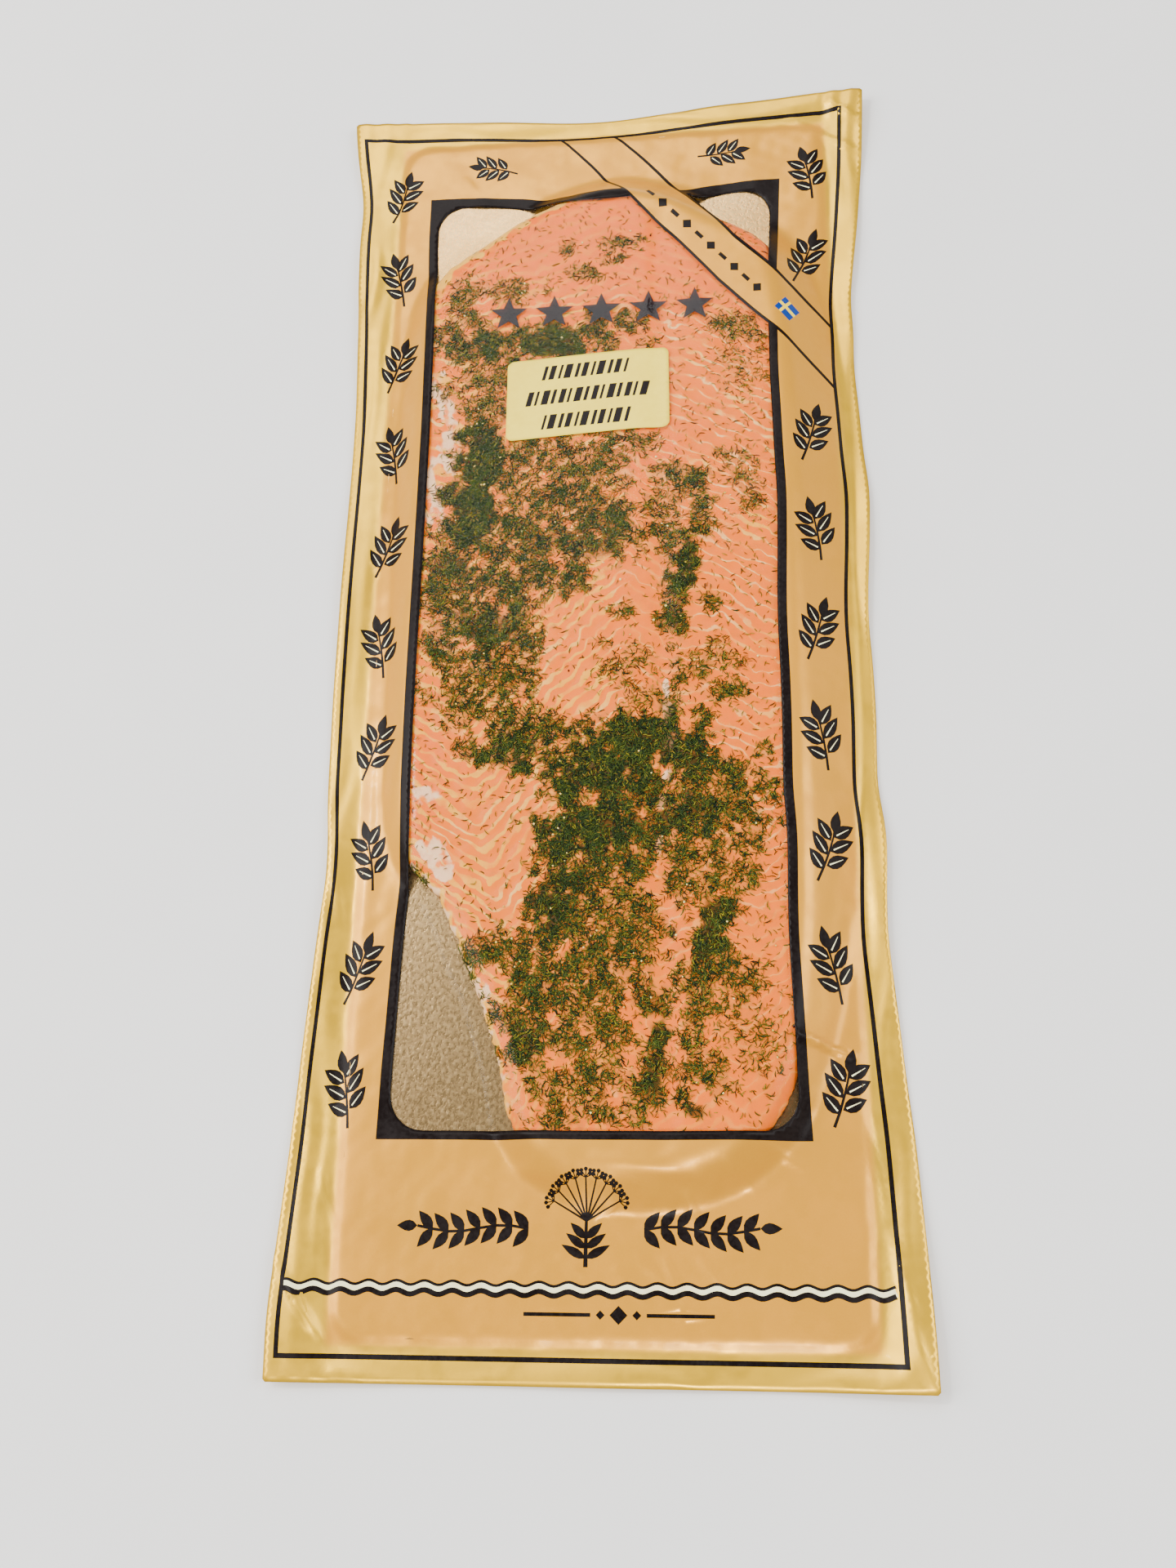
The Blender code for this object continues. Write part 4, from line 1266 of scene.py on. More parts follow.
@dataclass
class SlicedFish:
    """The side of fish: its flesh with all that grows in it, and the masks for what lies on it."""

    form: FishForm
    film: FilmForm
    step: float = 1.25
    rise: float = 0.45
    under_film: float = 0.75
    dill: tuple[Blot, ...] = (
        Blot(-16, 192, 4, 4, 0, 0.35), Blot(9, 193, 9, 4, -8, 0.3), Blot(-8, 179, 8, 4, 10, 0.35),
        Blot(3, 183, 7, 3, 12, 0.3), Blot(-62, 170, 6, 11, 0, 0.45), Blot(-42, 173, 13, 6, -8, 0.35),
        Blot(-60, 160, 6, 8, 0, 0.5), Blot(-64, 149, 11, 8, 0, 0.55), Blot(-50, 144, 17, 8, -6, 0.75),
        Blot(-22, 142, 18, 9, 0, 0.85), Blot(-1, 147, 9, 7, 0, 0.65), Blot(11, 149, 8, 5, 0, 0.45),
        Blot(2, 139, 5, 4, 0, 0.45), Blot(22, 138, 5, 3, 0, 0.2), Blot(57, 146, 9, 5, 0, 0.4),
        Blot(62, 138, 6, 4, 0, 0.3), Blot(60, 122, 10, 12, 0, 0.12), Blot(-65, 122, 5, 5, 0, 0.3),
        Blot(-50, 127, 10, 8, 0, 0.5), Blot(-50, 111, 9, 10, 0, 0.5), Blot(-50, 97, 9, 9, 0, 0.9),
        Blot(-49, 85, 10, 12, 0, 1.0), Blot(-55, 68, 10, 11, 0, 1.0), Blot(-51, 56, 10, 10, 0, 1.0),
        Blot(-46, 47, 6, 6, 0, 0.7), Blot(-25, 86, 16, 10, 0, 0.6), Blot(-32, 70, 15, 12, 0, 0.6),
        Blot(-4, 82, 15, 9, 0, 0.5), Blot(-12, 64, 18, 12, 25, 0.75), Blot(9, 86, 8, 8, 0, 0.5),
        Blot(6, 72, 8, 8, 0, 0.35), Blot(0, 51, 15, 10, 20, 0.82), Blot(-25, 46, 20, 12, 0, 0.85),
        Blot(-60, 40, 11, 8, 0, 0.6), Blot(-67, 50, 5, 6, 0, 0.4), Blot(33, 72, 11, 4, -5, 0.7),
        Blot(41, 66, 6, 7, 0, 0.6), Blot(30, 62, 8, 6, 0, 0.35), Blot(42, 57, 6, 7, 0, 0.5),
        Blot(44, 47, 5, 5, 0, 0.6), Blot(28, 52, 8, 8, 0, 0.4), Blot(32, 42, 8, 8, 0, 0.5),
        Blot(35, 29, 5, 9, 0, 0.9), Blot(57, 77, 7, 5, 0, 0.3), Blot(62, 69, 6, 8, 0, 0.3),
        Blot(64, 58, 4, 8, 0, 0.2), Blot(12, 44, 9, 8, 0, 0.5), Blot(21, 87, 6, 6, 0, 0.25),
        Blot(-60, 24, 14, 12, 0, 0.7), Blot(-38, 28, 26, 10, 0, 0.8), Blot(-16, 28, 12, 8, 20, 0.8),
        Blot(-47, 10, 20, 13, 0, 0.8), Blot(-62, 5, 11, 8, 0, 0.7), Blot(-30, 12, 8, 8, 0, 0.5),
        Blot(-48, -8, 18, 9, 0, 0.7), Blot(-48, -20, 15, 9, 0, 0.6), Blot(-35, -15, 11, 10, 0, 0.6),
        Blot(-28, -3, 7, 9, 0, 0.55), Blot(-55, -30, 9, 6, 0, 0.4), Blot(10, 10, 5, 3, 0, 0.3),
        Blot(31, 8, 5, 12, 0, 0.55), Blot(45, 14, 5, 4, -40, 0.45), Blot(46, -12, 8, 6, 0, 0.45),
        Blot(52, -25, 6, 5, 0, 0.45), Blot(33, -22, 4, 9, 0, 0.4), Blot(12, -12, 10, 7, 0, 0.22),
        Blot(20, -28, 9, 5, 20, 0.3), Blot(-32, -42, 17, 10, 0, 0.85), Blot(-28, -34, 12, 6, 0, 0.65),
        Blot(18, -43, 22, 10, 4, 0.95), Blot(-4, -42, 18, 7, 0, 0.6), Blot(8, -52, 28, 9, 0, 0.95),
        Blot(36, -50, 11, 12, 0, 0.9), Blot(47, -62, 18, 9, 0, 0.72), Blot(-6, -61, 13, 12, 0, 0.9),
        Blot(14, -66, 20, 10, 0, 0.9), Blot(55, -71, 12, 12, 0, 0.65), Blot(36, -76, 18, 10, 0, 0.88),
        Blot(0, -79, 20, 10, 0, 0.95), Blot(-12, -86, 8, 8, 0, 0.9), Blot(15, -86, 20, 9, 0, 0.82),
        Blot(57, -86, 8, 7, 0, 0.5), Blot(40, -91, 14, 6, 0, 0.45), Blot(-2, -98, 16, 9, 0, 0.78),
        Blot(15, -97, 8, 6, 0, 0.5), Blot(-15, -108, 9, 10, 0, 0.85), Blot(-4, -109, 14, 8, 0, 0.6),
        Blot(10, -106, 9, 6, 0, 0.5), Blot(40, -100, 13, 8, 0, 0.42), Blot(55, -100, 8, 6, 0, 0.32),
        Blot(-12, -119, 12, 7, 0, 0.7), Blot(8, -120, 12, 6, 0, 0.5), Blot(48, -112, 6, 6, 0, 0.7),
        Blot(43, -124, 8, 7, 0, 0.8), Blot(47, -133, 6, 6, 0, 0.65), Blot(17, -116, 10, 10, 0, 0.55),
        Blot(-38, -125, 10, 6, 0, 0.5), Blot(-25, -126, 12, 8, 0, 0.6), Blot(6, -129, 17, 8, 0, 0.62),
        Blot(-20, -141, 14, 10, 0, 0.75), Blot(0, -141, 14, 8, 0, 0.6), Blot(-25, -153, 11, 8, 0, 0.62),
        Blot(-3, -151, 10, 6, 0, 0.5), Blot(21, -146, 6, 7, 0, 0.45), Blot(38, -140, 9, 7, 0, 0.6),
        Blot(42, -148, 8, 5, 0, 0.45), Blot(55, -140, 8, 10, 0, 0.25), Blot(-25, -163, 9, 5, 0, 0.8),
        Blot(-8, -160, 12, 7, 0, 0.5), Blot(8, -159, 7, 7, 0, 0.4), Blot(26, -158, 5, 4, 0, 0.55),
        Blot(38, -161, 5, 8, 0, 0.5), Blot(22, -172, 5, 8, 0, 0.55), Blot(24, -182, 4, 5, 0, 0.5),
        Blot(0, -175, 14, 8, 0, 0.4), Blot(-17, -178, 8, 8, 0, 0.35), Blot(40, -173, 10, 9, 0, 0.3),
        Blot(60, -160, 10, 12, 0, 0.12), Blot(18, -186, 5, 5, 0, 0.5), Blot(-9, -187, 12, 5, 0, 0.35),
        Blot(5, -188, 6, 4, 0, 0.4), Blot(-70, -97, 4, 5, 0, 0.5), Blot(-49, -136, 4, 3, 0, 0.7),
        Blot(-49, -129, 3, 2, 0, 0.6), Blot(66, -51, 4, 3, 0, 0.5),
    )
    wet: tuple[Blot, ...] = (
        Blot(-20, 141, 15, 8, 0, 0.6), Blot(-50, 144, 10, 6, 0, 0.4), Blot(-50, 96, 8, 8, 0, 0.8),
        Blot(-50, 84, 9, 11, 0, 0.9), Blot(-55, 66, 9, 10, 0, 1.0), Blot(-51, 55, 8, 8, 0, 0.9),
        Blot(-60, 36, 8, 6, 0, 0.5), Blot(0, 42, 12, 7, 0, 0.45), Blot(35, 29, 5, 9, 0, 0.9),
        Blot(31, 8, 4, 11, 0, 0.6), Blot(-45, 8, 18, 10, 0, 0.4), Blot(-32, -46, 12, 7, 0, 0.6),
        Blot(20, -43, 17, 9, 0, 0.8), Blot(33, -50, 9, 10, 0, 0.6), Blot(5, -55, 22, 9, 0, 0.6),
        Blot(-12, -84, 8, 9, 0, 0.6), Blot(-16, -108, 7, 9, 0, 0.6), Blot(0, -80, 20, 10, 0, 0.45),
        Blot(30, -75, 18, 9, 0, 0.4), Blot(44, -123, 8, 8, 0, 0.7), Blot(48, -112, 6, 5, 0, 0.6),
        Blot(26, -157, 4, 4, 0, 0.8), Blot(22, -148, 4, 7, 0, 0.5), Blot(23, -174, 4, 9, 0, 0.7),
        Blot(-24, -160, 8, 5, 0, 0.6), Blot(40, -187, 3, 2, 0, 0.9),
    )
    pale: tuple[Blot, ...] = (
        Blot(-70, 122, 4, 12, 8, 0.8), Blot(-64, 104, 4, 14, 10, 0.8), Blot(-64, 92, 5, 12, 5, 0.95),
        Blot(-72, 78, 3, 16, 0, 0.85), Blot(-68, 66, 5, 9, 0, 0.9), Blot(-64, 54, 5, 6, 0, 0.55),
        Blot(-67, -63, 6, 5, 0, 0.7), Blot(-63, -88, 7, 6, -30, 1.0), Blot(-58, -95, 6, 4, -40, 0.9),
        Blot(-42, -140, 5, 4, -40, 0.7), Blot(-52, 172, 3, 7, -20, 0.4), Blot(-28, 178, 3, 4, 0, 0.35),
    )
    dashes: tuple[Blot, ...] = (
        Blot(28.6, -22, 1.5, 4.5, 0, 0.8), Blot(29, -34, 1.8, 4.5, 0, 0.9), Blot(29.6, -46, 1.9, 4, 0, 1.0),
        Blot(28.4, -59, 1.8, 3.5, -20, 0.9), Blot(26.4, -70, 1.5, 4, -25, 0.9), Blot(25.6, -86, 1.5, 4, 0, 0.6),
        Blot(25, -97, 1.2, 5, 0, 0.4),
    )
    mid_line: tuple = (
        (22, 72), (22.4, 52), (23.4, 30), (28.3, 4), (29, -14), (29.1, -31), (30.3, -50), (28, -70), (25.7, -91),
        (25.1, -114), (25, -139), (24, -163), (24.6, -192),
    )

    mask_names: tuple = ("phase", "broad", "rind", "lined", "pink", "orange", "fat", "stain", "dill", "over",
                         "thick", "few", "clumps")
    wall_masks: tuple = ("phase", "pink", "orange", "fat", "rind")
    more_pink: tuple[Blot, ...] = (
        Blot(18, 84, 16, 12, 0, 1.0), Blot(-66, -60, 12, 22, 0, 0.5), Blot(-66, 60, 10, 30, 0, 0.5),
    )
    more_orange: tuple[Blot, ...] = (
        Blot(-27, -178, 7, 14, 0, 0.9), Blot(-62, 82, 5, 4, 0, 0.7), Blot(62, -165, 14, 26, 0, 0.35),
        Blot(-42, -95, 26, 40, 0, 0.75),
    )

    def mask_set(self, x: Array, y: Array, inside: Array) -> dict[str, Array]:
        """Every mask of the flesh by name at these places."""
        ragged = 0.16 * Ripple(13, 31).at(x, y) + 0.12 * Ripple(5, 32).at(x, y)
        clump = np.clip(0.85 + 0.26 * Ripple(9, 33).at(x, y) + 0.3 * Ripple(4.2, 34).at(x, y), 0.2, 1.35)
        phase = MuscleLines().number_at(x, y) + 0.13 * Ripple(17, 39).at(x, y) + 0.09 * Ripple(7, 40).at(x, y)
        off_line = np.abs(phase - np.floor(phase) - 0.5)
        rows = smoothstep(0.24, 0.44, off_line) * np.clip(0.7 + 0.45 * Ripple(24, 41).at(x, y), 0, 1)
        rows = rows * (0.35 + 0.65 * smoothstep(-110, -85, y)) * (1 - 0.5 * smoothstep(110, 130, y))
        dashes = patches(self.dashes, x, y, ragged)
        dill = patches(self.dill, x, y, 1.4 * ragged) ** 0.66
        dill = dill * (1 - 0.85 * rows * smoothstep(1.0, 0.85, dill)) * (1 - 0.8 * dashes)
        sparse = (0.035 + 0.02 * smoothstep(10, 60, x)) * smoothstep(2, 6, inside)
        line_x = np.interp(-y, [-v for _, v in self.mid_line], [u for u, _ in self.mid_line])
        seam = np.exp(-(((x - line_x) / 1.5) ** 2)) * smoothstep(-84, -96, y) * smoothstep(-150, -138, y)
        dill = dill * (1 - 0.7 * seam)
        edge = smoothstep(3.2, 0.4, inside + 0.9 * Ripple(6, 36).at(x, y))
        low_left = smoothstep(-20, -40, x) * smoothstep(-60, -90, y)
        top_left = smoothstep(10, -20, x) * smoothstep(165, 178, y)
        streak = np.clip(0.5 + 0.8 * Ripple(4.2, 37, 3.5).at(x, y), 0, 1)
        bare = 1 - 0.75 * np.clip(dill, 0, 1)
        loose = np.clip(dill * clump * smoothstep(0, 1.5, inside) + sparse, 0, 1.2)
        return {
            "phase": phase,
            "broad": np.clip(0.25 + 0.75 * smoothstep(14, 4, x) + 0.3 * Ripple(30, 42).at(x, y), 0, 1),
            "rind": np.clip(smoothstep(9, 2, inside + 1.8 * Ripple(8, 43).at(x, y)) * top_left
                            + smoothstep(4.5, 1.2, inside + 1.2 * Ripple(6, 44).at(x, y)) * low_left, 0, 1),
            "lined": bare * (0.14 + 0.86 * smoothstep(185, 145, y + 0.25 * x))
            * (0.4 + 0.6 * smoothstep(-205, -150, y))
            * (1 - 0.55 * smoothstep(8, 14, x) * smoothstep(32, 24, x)) * (1.15 - 0.1 * smoothstep(24, 32, x))
            * (1 - 0.35 * smoothstep(24, 32, x) * smoothstep(40, -20, y))
            * (1 - 0.45 * smoothstep(-85, -115, y) * smoothstep(-35, -15, x)),
            "pink": np.clip(0.75 * smoothstep(120, 175, y) + patches(self.more_pink, x, y, ragged), 0, 1),
            "orange": np.clip(patches(self.more_orange, x, y, ragged) + seam, 0, 1),
            "fat": np.clip(np.maximum(patches(self.pale, x, y, ragged) * (0.45 + 0.55 * streak), dashes)
                           + 0.7 * edge * low_left, 0, 1),
            "stain": np.clip(0.8 * patches(self.wet, x, y, 1.7 * ragged) + 0.55 * dill, 0, 1)
            * smoothstep(1, 5, inside),
            "over": loose * (1 - 0.7 * smoothstep(0.75, 1.1, dill * clump)),
            "dill": loose,
            "thick": np.clip(dill * clump * smoothstep(0, 1.5, inside), 0, 1.25) ** 1.7 + 0.1 * sparse,
            "few": np.clip(0.12 + 0.5 * dill, 0, 1) * smoothstep(2, 7, inside),
            "clumps": 0.35 * np.clip(dill, 0, 1) + 0.4 * smoothstep(0.5, 1.0, dill * clump),
        }

    def build(self, finish: bpy.types.Material) -> bpy.types.Object:
        """The flesh as one closed piece that carries its masks."""
        rough = closer(smooth_closed(self.form.points, 6), 1.3)
        px, py = np.array(rough).T
        wander = 0.35 * Ripple(4.5, 51).at(px, py) + 0.5 * Ripple(14, 52).at(px, py)
        along = np.roll(np.array(rough), -1, 0) - np.roll(np.array(rough), 1, 0)
        along /= np.linalg.norm(along, axis=1)[:, None]
        push = -0.5 - np.abs(wander)
        outline = [(x + p * -a[1], y + p * a[0]) for x, y, p, a in zip(px, py, push, along)]
        box = (-94, 96, -226, 240)
        flat, tris, _ = triangulated([outline], free_points(self.step, box, [outline]))
        x, y = flat.T
        inside = np.maximum(distance_to(self.form.outline(), x, y), 0)
        masks = self.mask_set(x, y, inside)
        relief = 0.1 * np.cos(math.tau * masks["phase"]) * masks["lined"] + 0.12 * Ripple(9, 53).at(x, y)
        top = self.form.top(x, y, inside) + self.rise + relief * smoothstep(0, 4, inside)
        top = np.maximum(np.minimum(top, self.film.front(x, y) - self.under_film), self.form.bottom + 0.5)
        upper = np.stack([x, y, top], 1)
        edge = open_edges(tris)
        ring, ring_numbers = np.unique(edge, return_inverse=True)
        count = len(upper)
        lower = np.stack([x[ring], y[ring], np.full(len(ring), self.form.bottom)], 1)
        a, b = edge[:, 0], edge[:, 1]
        la, lb = ring_numbers.reshape(-1, 2).T + count
        side = np.concatenate([np.stack([b, a, la], 1), np.stack([b, la, lb], 1)])
        step_from = dict(zip(b.tolist(), zip(a.tolist(), la.tolist())))
        walk, here = [], int(edge[0, 0])
        for _ in range(len(edge)):
            here, low = step_from[here]
            walk.append(low)
        mesh = bpy.data.meshes.new("salmon_flesh")
        verts = np.concatenate([upper, lower])
        mesh.from_pydata((verts * MM).tolist(), [], tris.tolist() + side.tolist() + [walk])
        mesh.shade_smooth()
        for name, values in masks.items():
            set_mask(mesh, name, np.concatenate([values, values[ring] * (name in self.wall_masks)]))
        piece = add_piece("salmon_flesh", mesh, [finish])
        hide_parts("gravlax_side")
        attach(piece, BODY)
        LOG.info("salmon_flesh: %d faces", len(mesh.polygons))
        return piece


# Dill, seeds and specks


def needle_mesh(name: str, length: float, width: float, bend: float, rings: int = 2) -> bpy.types.Mesh:
    """A bent needle of dill with pointed ends, lying along X with its middle at the origin."""
    maker = bmesh.new()
    tips = [maker.verts.new((side * length / 2 * MM, 0, -bend * MM)) for side in (-1, 1)]
    loops = []
    for ring in range(rings):
        t = (ring + 1) / (rings + 1)
        reach = width / 2 * math.sin(math.pi * t) ** 0.5
        loops.append([maker.verts.new((
            (t - 0.5) * length * MM,
            (reach * math.cos(math.tau * k / 3) + bend * math.sin(math.pi * t)) * MM,
            (0.7 * reach * math.sin(math.tau * k / 3) - bend * (2 * t - 1) ** 2) * MM,
        )) for k in range(3)])
    for k in range(3):
        after = (k + 1) % 3
        maker.faces.new((tips[0], loops[0][k], loops[0][after]))
        maker.faces.new((tips[1], loops[-1][after], loops[-1][k]))
        for first, second in zip(loops, loops[1:]):
            maker.faces.new((first[k], second[k], second[after], first[after]))
    bmesh.ops.recalc_face_normals(maker, faces=maker.faces)
    mesh = bpy.data.meshes.new(name)
    maker.to_mesh(mesh)
    maker.free()
    return mesh


def joined_mesh(name: str, parts: Sequence[tuple[bpy.types.Mesh, Matrix]]) -> bpy.types.Mesh:
    """One mesh from several, each put in its place."""
    maker = bmesh.new()
    for mesh, place in parts:
        before = len(maker.verts)
        maker.from_mesh(mesh)
        maker.verts.ensure_lookup_table()
        bmesh.ops.transform(maker, matrix=place, verts=maker.verts[before:])
    joined = bpy.data.meshes.new(name)
    maker.to_mesh(joined)
    maker.free()
    return joined


def sprig_mesh(name: str, length: float, pairs: int, seed: int) -> bpy.types.Mesh:
    """A torn sprig of dill: a thin stem with needles on both sides."""
    draw = np.random.default_rng(seed)
    stem = needle_mesh(name + "_stem", length, 0.42, 0.5, 3)
    parts = [(stem, Matrix.Identity(4))]
    for pair in range(pairs):
        for side in (-1, 1):
            x = (pair + 0.6 + 0.3 * draw.random()) / pairs * length - length / 2
            size = 2.6 + 1.2 * draw.random() - 0.8 * pair / pairs
            needle = needle_mesh(name + "_needle", size, 0.36, 0.25, 2)
            turn = Matrix.Rotation(side * math.radians(38 + 20 * draw.random()), 4, "Z")
            move = Matrix.Translation((x * MM, 0.45 * math.sin(math.pi * (x / length + 0.5)) * MM, 0))
            parts.append((needle, move @ turn @ Matrix.Translation((size / 2 * MM, 0, 0.1 * MM))))
    return joined_mesh(name, parts)


def lump_mesh(name: str, size: float, seed: int) -> bpy.types.Mesh:
    """A small broken seed."""
    draw = np.random.default_rng(seed)
    maker = bmesh.new()
    bmesh.ops.create_icosphere(maker, subdivisions=1, radius=size / 2 * MM)
    for vert in maker.verts:
        vert.co *= 0.75 + 0.45 * draw.random()
        vert.co.z *= 0.6
    mesh = bpy.data.meshes.new(name)
    maker.to_mesh(mesh)
    maker.free()
    return mesh


@dataclass(frozen=True)
class Strewn:
    """One kind of small piece that lies strewn on the fish.

    Attributes:
        name: the piece's name.
        shape: the mesh of one of them.
        mask: the mask of the fish that says where they lie.
        amount: how many lie on a square centimetre where the mask is 1.
        seed: what their places are drawn from.
        least: the smallest scale.
        most: the largest scale.
        tilt: how far they tip, in degrees.
        low: the least height over the flesh, in millimetres.
        high: the greatest.
    """

    name: str
    shape: bpy.types.Mesh
    mask: str
    amount: float
    seed: int
    least: float = 0.7
    most: float = 1.25
    tilt: float = 14.0
    low: float = 0.05
    high: float = 0.45

    def tree(self) -> bpy.types.NodeTree:
        """The node tree that strews the shape over a mesh."""
        tree = bpy.data.node_groups.new("strew_" + self.name, "GeometryNodeTree")
        numbers = {"Amount": self.amount / 0.0001, "Least": self.least, "Most": self.most,
                   "Tilt": math.radians(self.tilt), "Low": self.low * MM, "High": self.high * MM}
        tree.interface.new_socket("Geometry", in_out="INPUT", socket_type="NodeSocketGeometry")
        tree.interface.new_socket("Shape", in_out="INPUT", socket_type="NodeSocketObject")
        tree.interface.new_socket("Finish", in_out="INPUT", socket_type="NodeSocketMaterial")
        tree.interface.new_socket("Seed", in_out="INPUT", socket_type="NodeSocketInt").default_value = self.seed
        for key, value in numbers.items():
            tree.interface.new_socket(key, in_out="INPUT", socket_type="NodeSocketFloat").default_value = value
        tree.interface.new_socket("Geometry", in_out="OUTPUT", socket_type="NodeSocketGeometry")
        w = Wiring(tree)
        start = w.put("NodeGroupInput").outputs
        mask = w.put("GeometryNodeInputNamedAttribute", {"Name": self.mask}, data_type="FLOAT")
        density = w.math("MULTIPLY", mask.outputs["Attribute"], start["Amount"])
        spread = w.put("GeometryNodeDistributePointsOnFaces", {
            "Mesh": start["Geometry"], "Density": density, "Seed": start["Seed"],
        }, distribute_method="RANDOM")

        def drawn(low: Any, high: Any, number: int) -> bpy.types.NodeSocket:
            """A random number between two, of its own for each piece."""
            seed = w.math("ADD", start["Seed"], float(number))
            node = w.put("FunctionNodeRandomValue", data_type="FLOAT")
            tree.links.new(seed, node.inputs["Seed"])
            ends = [s for s in node.inputs if s.name in ("Min", "Max") and s.enabled]
            for socket, value in zip(ends, (low, high)):
                if isinstance(value, bpy.types.NodeSocket):
                    tree.links.new(value, socket)
                else:
                    socket.default_value = value
            return [s for s in node.outputs if s.enabled][0]

        less = w.math("MULTIPLY", start["Tilt"], -1.0)
        turns = w.put("ShaderNodeCombineXYZ", {0: drawn(less, start["Tilt"], 1), 1: drawn(less, start["Tilt"], 2),
                                               2: drawn(0.0, math.tau, 3)}).outputs[0]
        turned = w.put("FunctionNodeRotateRotation", {
            0: spread.outputs["Rotation"], 1: w.put("FunctionNodeEulerToRotation", {0: turns}).outputs[0],
        }, rotation_space="LOCAL").outputs[0]
        lift = w.put("ShaderNodeVectorMath", {0: spread.outputs["Normal"],
                                              "Scale": drawn(start["Low"], start["High"], 4)}, operation="SCALE")
        lifted = w.put("GeometryNodeSetPosition",
                       {"Geometry": spread.outputs["Points"], "Offset": lift.outputs[0]})
        shape = w.put("GeometryNodeObjectInfo", {"Object": start["Shape"]})
        pieces = w.put("GeometryNodeInstanceOnPoints", {
            "Points": lifted.outputs[0], "Instance": shape.outputs["Geometry"], "Rotation": turned,
            "Scale": drawn(start["Least"], start["Most"], 5),
        })
        shaded = w.put("GeometryNodeStoreNamedAttribute", {"Geometry": pieces.outputs[0], "Name": "shade"},
                       data_type="FLOAT", domain="INSTANCE")
        value = next(s for s in shaded.inputs if s.name == "Value" and s.enabled)
        tree.links.new(drawn(0.0, 1.0, 6), value)
        real = w.put("GeometryNodeRealizeInstances", {"Geometry": shaded.outputs[0]})
        painted = w.put("GeometryNodeSetMaterial", {"Geometry": real.outputs[0], "Material": start["Finish"]})
        w.put("NodeGroupOutput", {"Geometry": painted.outputs[0]})
        return tree

    def build(self, fish: SlicedFish, ground: bpy.types.Object, finish: bpy.types.Material) -> bpy.types.Object:
        """Strews the shape over the fish, and keeps every point under the film and over the flesh.

        Args:
            fish: the side of fish, which knows its film.
            ground: the fish's piece, which carries the masks.
            finish: the material.

        Returns:
            The piece with all of them.
        """
        shape = bpy.data.objects.new(self.name + "_shape", self.shape)
        carrier = bpy.data.objects.new(self.name + "_carrier", ground.data)
        bpy.context.scene.collection.objects.link(carrier)
        tree = self.tree()
        modifier = carrier.modifiers.new("Strew", "NODES")
        modifier.node_group = tree
        for item in tree.interface.items_tree:
            if item.in_out == "INPUT" and item.name == "Shape":
                modifier[item.identifier] = shape
            elif item.in_out == "INPUT" and item.name == "Finish":
                modifier[item.identifier] = finish
        graph = bpy.context.evaluated_depsgraph_get()
        mesh = bpy.data.meshes.new_from_object(carrier.evaluated_get(graph))
        carrier.modifiers.clear()
        bpy.data.objects.remove(carrier)
        bpy.data.objects.remove(shape)
        mesh.name = self.name
        for layer in list(mesh.attributes):
            if layer.name in fish.mask_names:
                mesh.attributes.remove(layer)
        count = len(mesh.vertices)
        flat = np.empty(3 * count, np.float32)
        mesh.vertices.foreach_get("co", flat)
        x, y, z = flat.reshape(-1, 3).T / MM
        inside = np.maximum(distance_to(fish.form.outline(), x, y), 0)
        ceiling = fish.film.front(x, y) - 0.32
        z = np.minimum(z, ceiling - 0.12 * (ceiling - z < 0.12))
        z = np.maximum(z, fish.form.top(x, y, inside) + fish.rise - 0.35)
        kept = np.stack([x, y, np.minimum(z, ceiling)], 1) * MM
        mesh.vertices.foreach_set("co", kept.ravel().astype(np.float32))
        mesh.update()
        mesh.shade_smooth()
        piece = add_piece(self.name, mesh, [finish])
        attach(piece, BODY)
        LOG.info("%s: %d faces", self.name, len(mesh.polygons))
        return piece


# Label and studio


@dataclass(frozen=True)
class PaperLabel:
    """The pale paper label on the window, with three rows of plain slanted bars for its print."""

    film: FilmForm
    width: float = 70
    height: float = 40
    corner: float = 3
    x: float = -4.5
    y: float = 113.5
    turn: float = 0.6
    thickness: float = 0.14
    rows: tuple = ((12.2, 38), (-0.2, 52), (-12.6, 38))
    bar_height: float = 7.0
    slant: float = 1.7

    def bars(self) -> list[Outline]:
        """The slanted bars, in the label's own measure."""
        made = []
        for row, (middle, width) in enumerate(self.rows):
            x = -width / 2
            number = 0
            while x < width / 2 - 1.6:
                thick = (1.5, 2.4, 1.1, 3.0)[(number + row) % 4]
                half = self.bar_height / 2
                made.append([(x - self.slant / 2, middle - half), (x - self.slant / 2 + thick, middle - half),
                             (x + self.slant / 2 + thick, middle + half), (x + self.slant / 2, middle + half)])
                x += thick + (1.3, 1.8)[number % 2]
                number += 1
        return made

    def build(self, paper: bpy.types.Material, ink: bpy.types.Material) -> bpy.types.Object:
        """The label, draped on the film."""
        half_w, half_h = self.width / 2, self.height / 2
        shapes = [closer(rectangle(-half_w, half_w, -half_h, half_h, self.corner), 1.8)] + self.bars()
        outlines = [closer(placed(shape, (self.x, self.y), self.turn), 1.8) for shape in shapes]
        box = (self.x - half_w - 1, self.x + half_w + 1, self.y - half_h - 1, self.y + half_h + 1)
        flat, tris, origins = triangulated(outlines, free_points(1.5, box, outlines))
        x, y = flat.T
        top = np.stack([x, y, self.film.front(x, y) + 0.05 + self.thickness], 1)
        inks = np.array([int(max(held) > 0) for held in origins])
        verts, tri, ink_of = thickened(top, tris, inks, top - (0, 0, self.thickness))
        piece = add_piece("paper_label", mesh_from("paper_label", verts, tri, ink_of), [paper, ink])
        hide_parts("label")
        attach(piece, BODY)
        LOG.info("paper_label: %d faces", len(piece.data.polygons))
        return piece


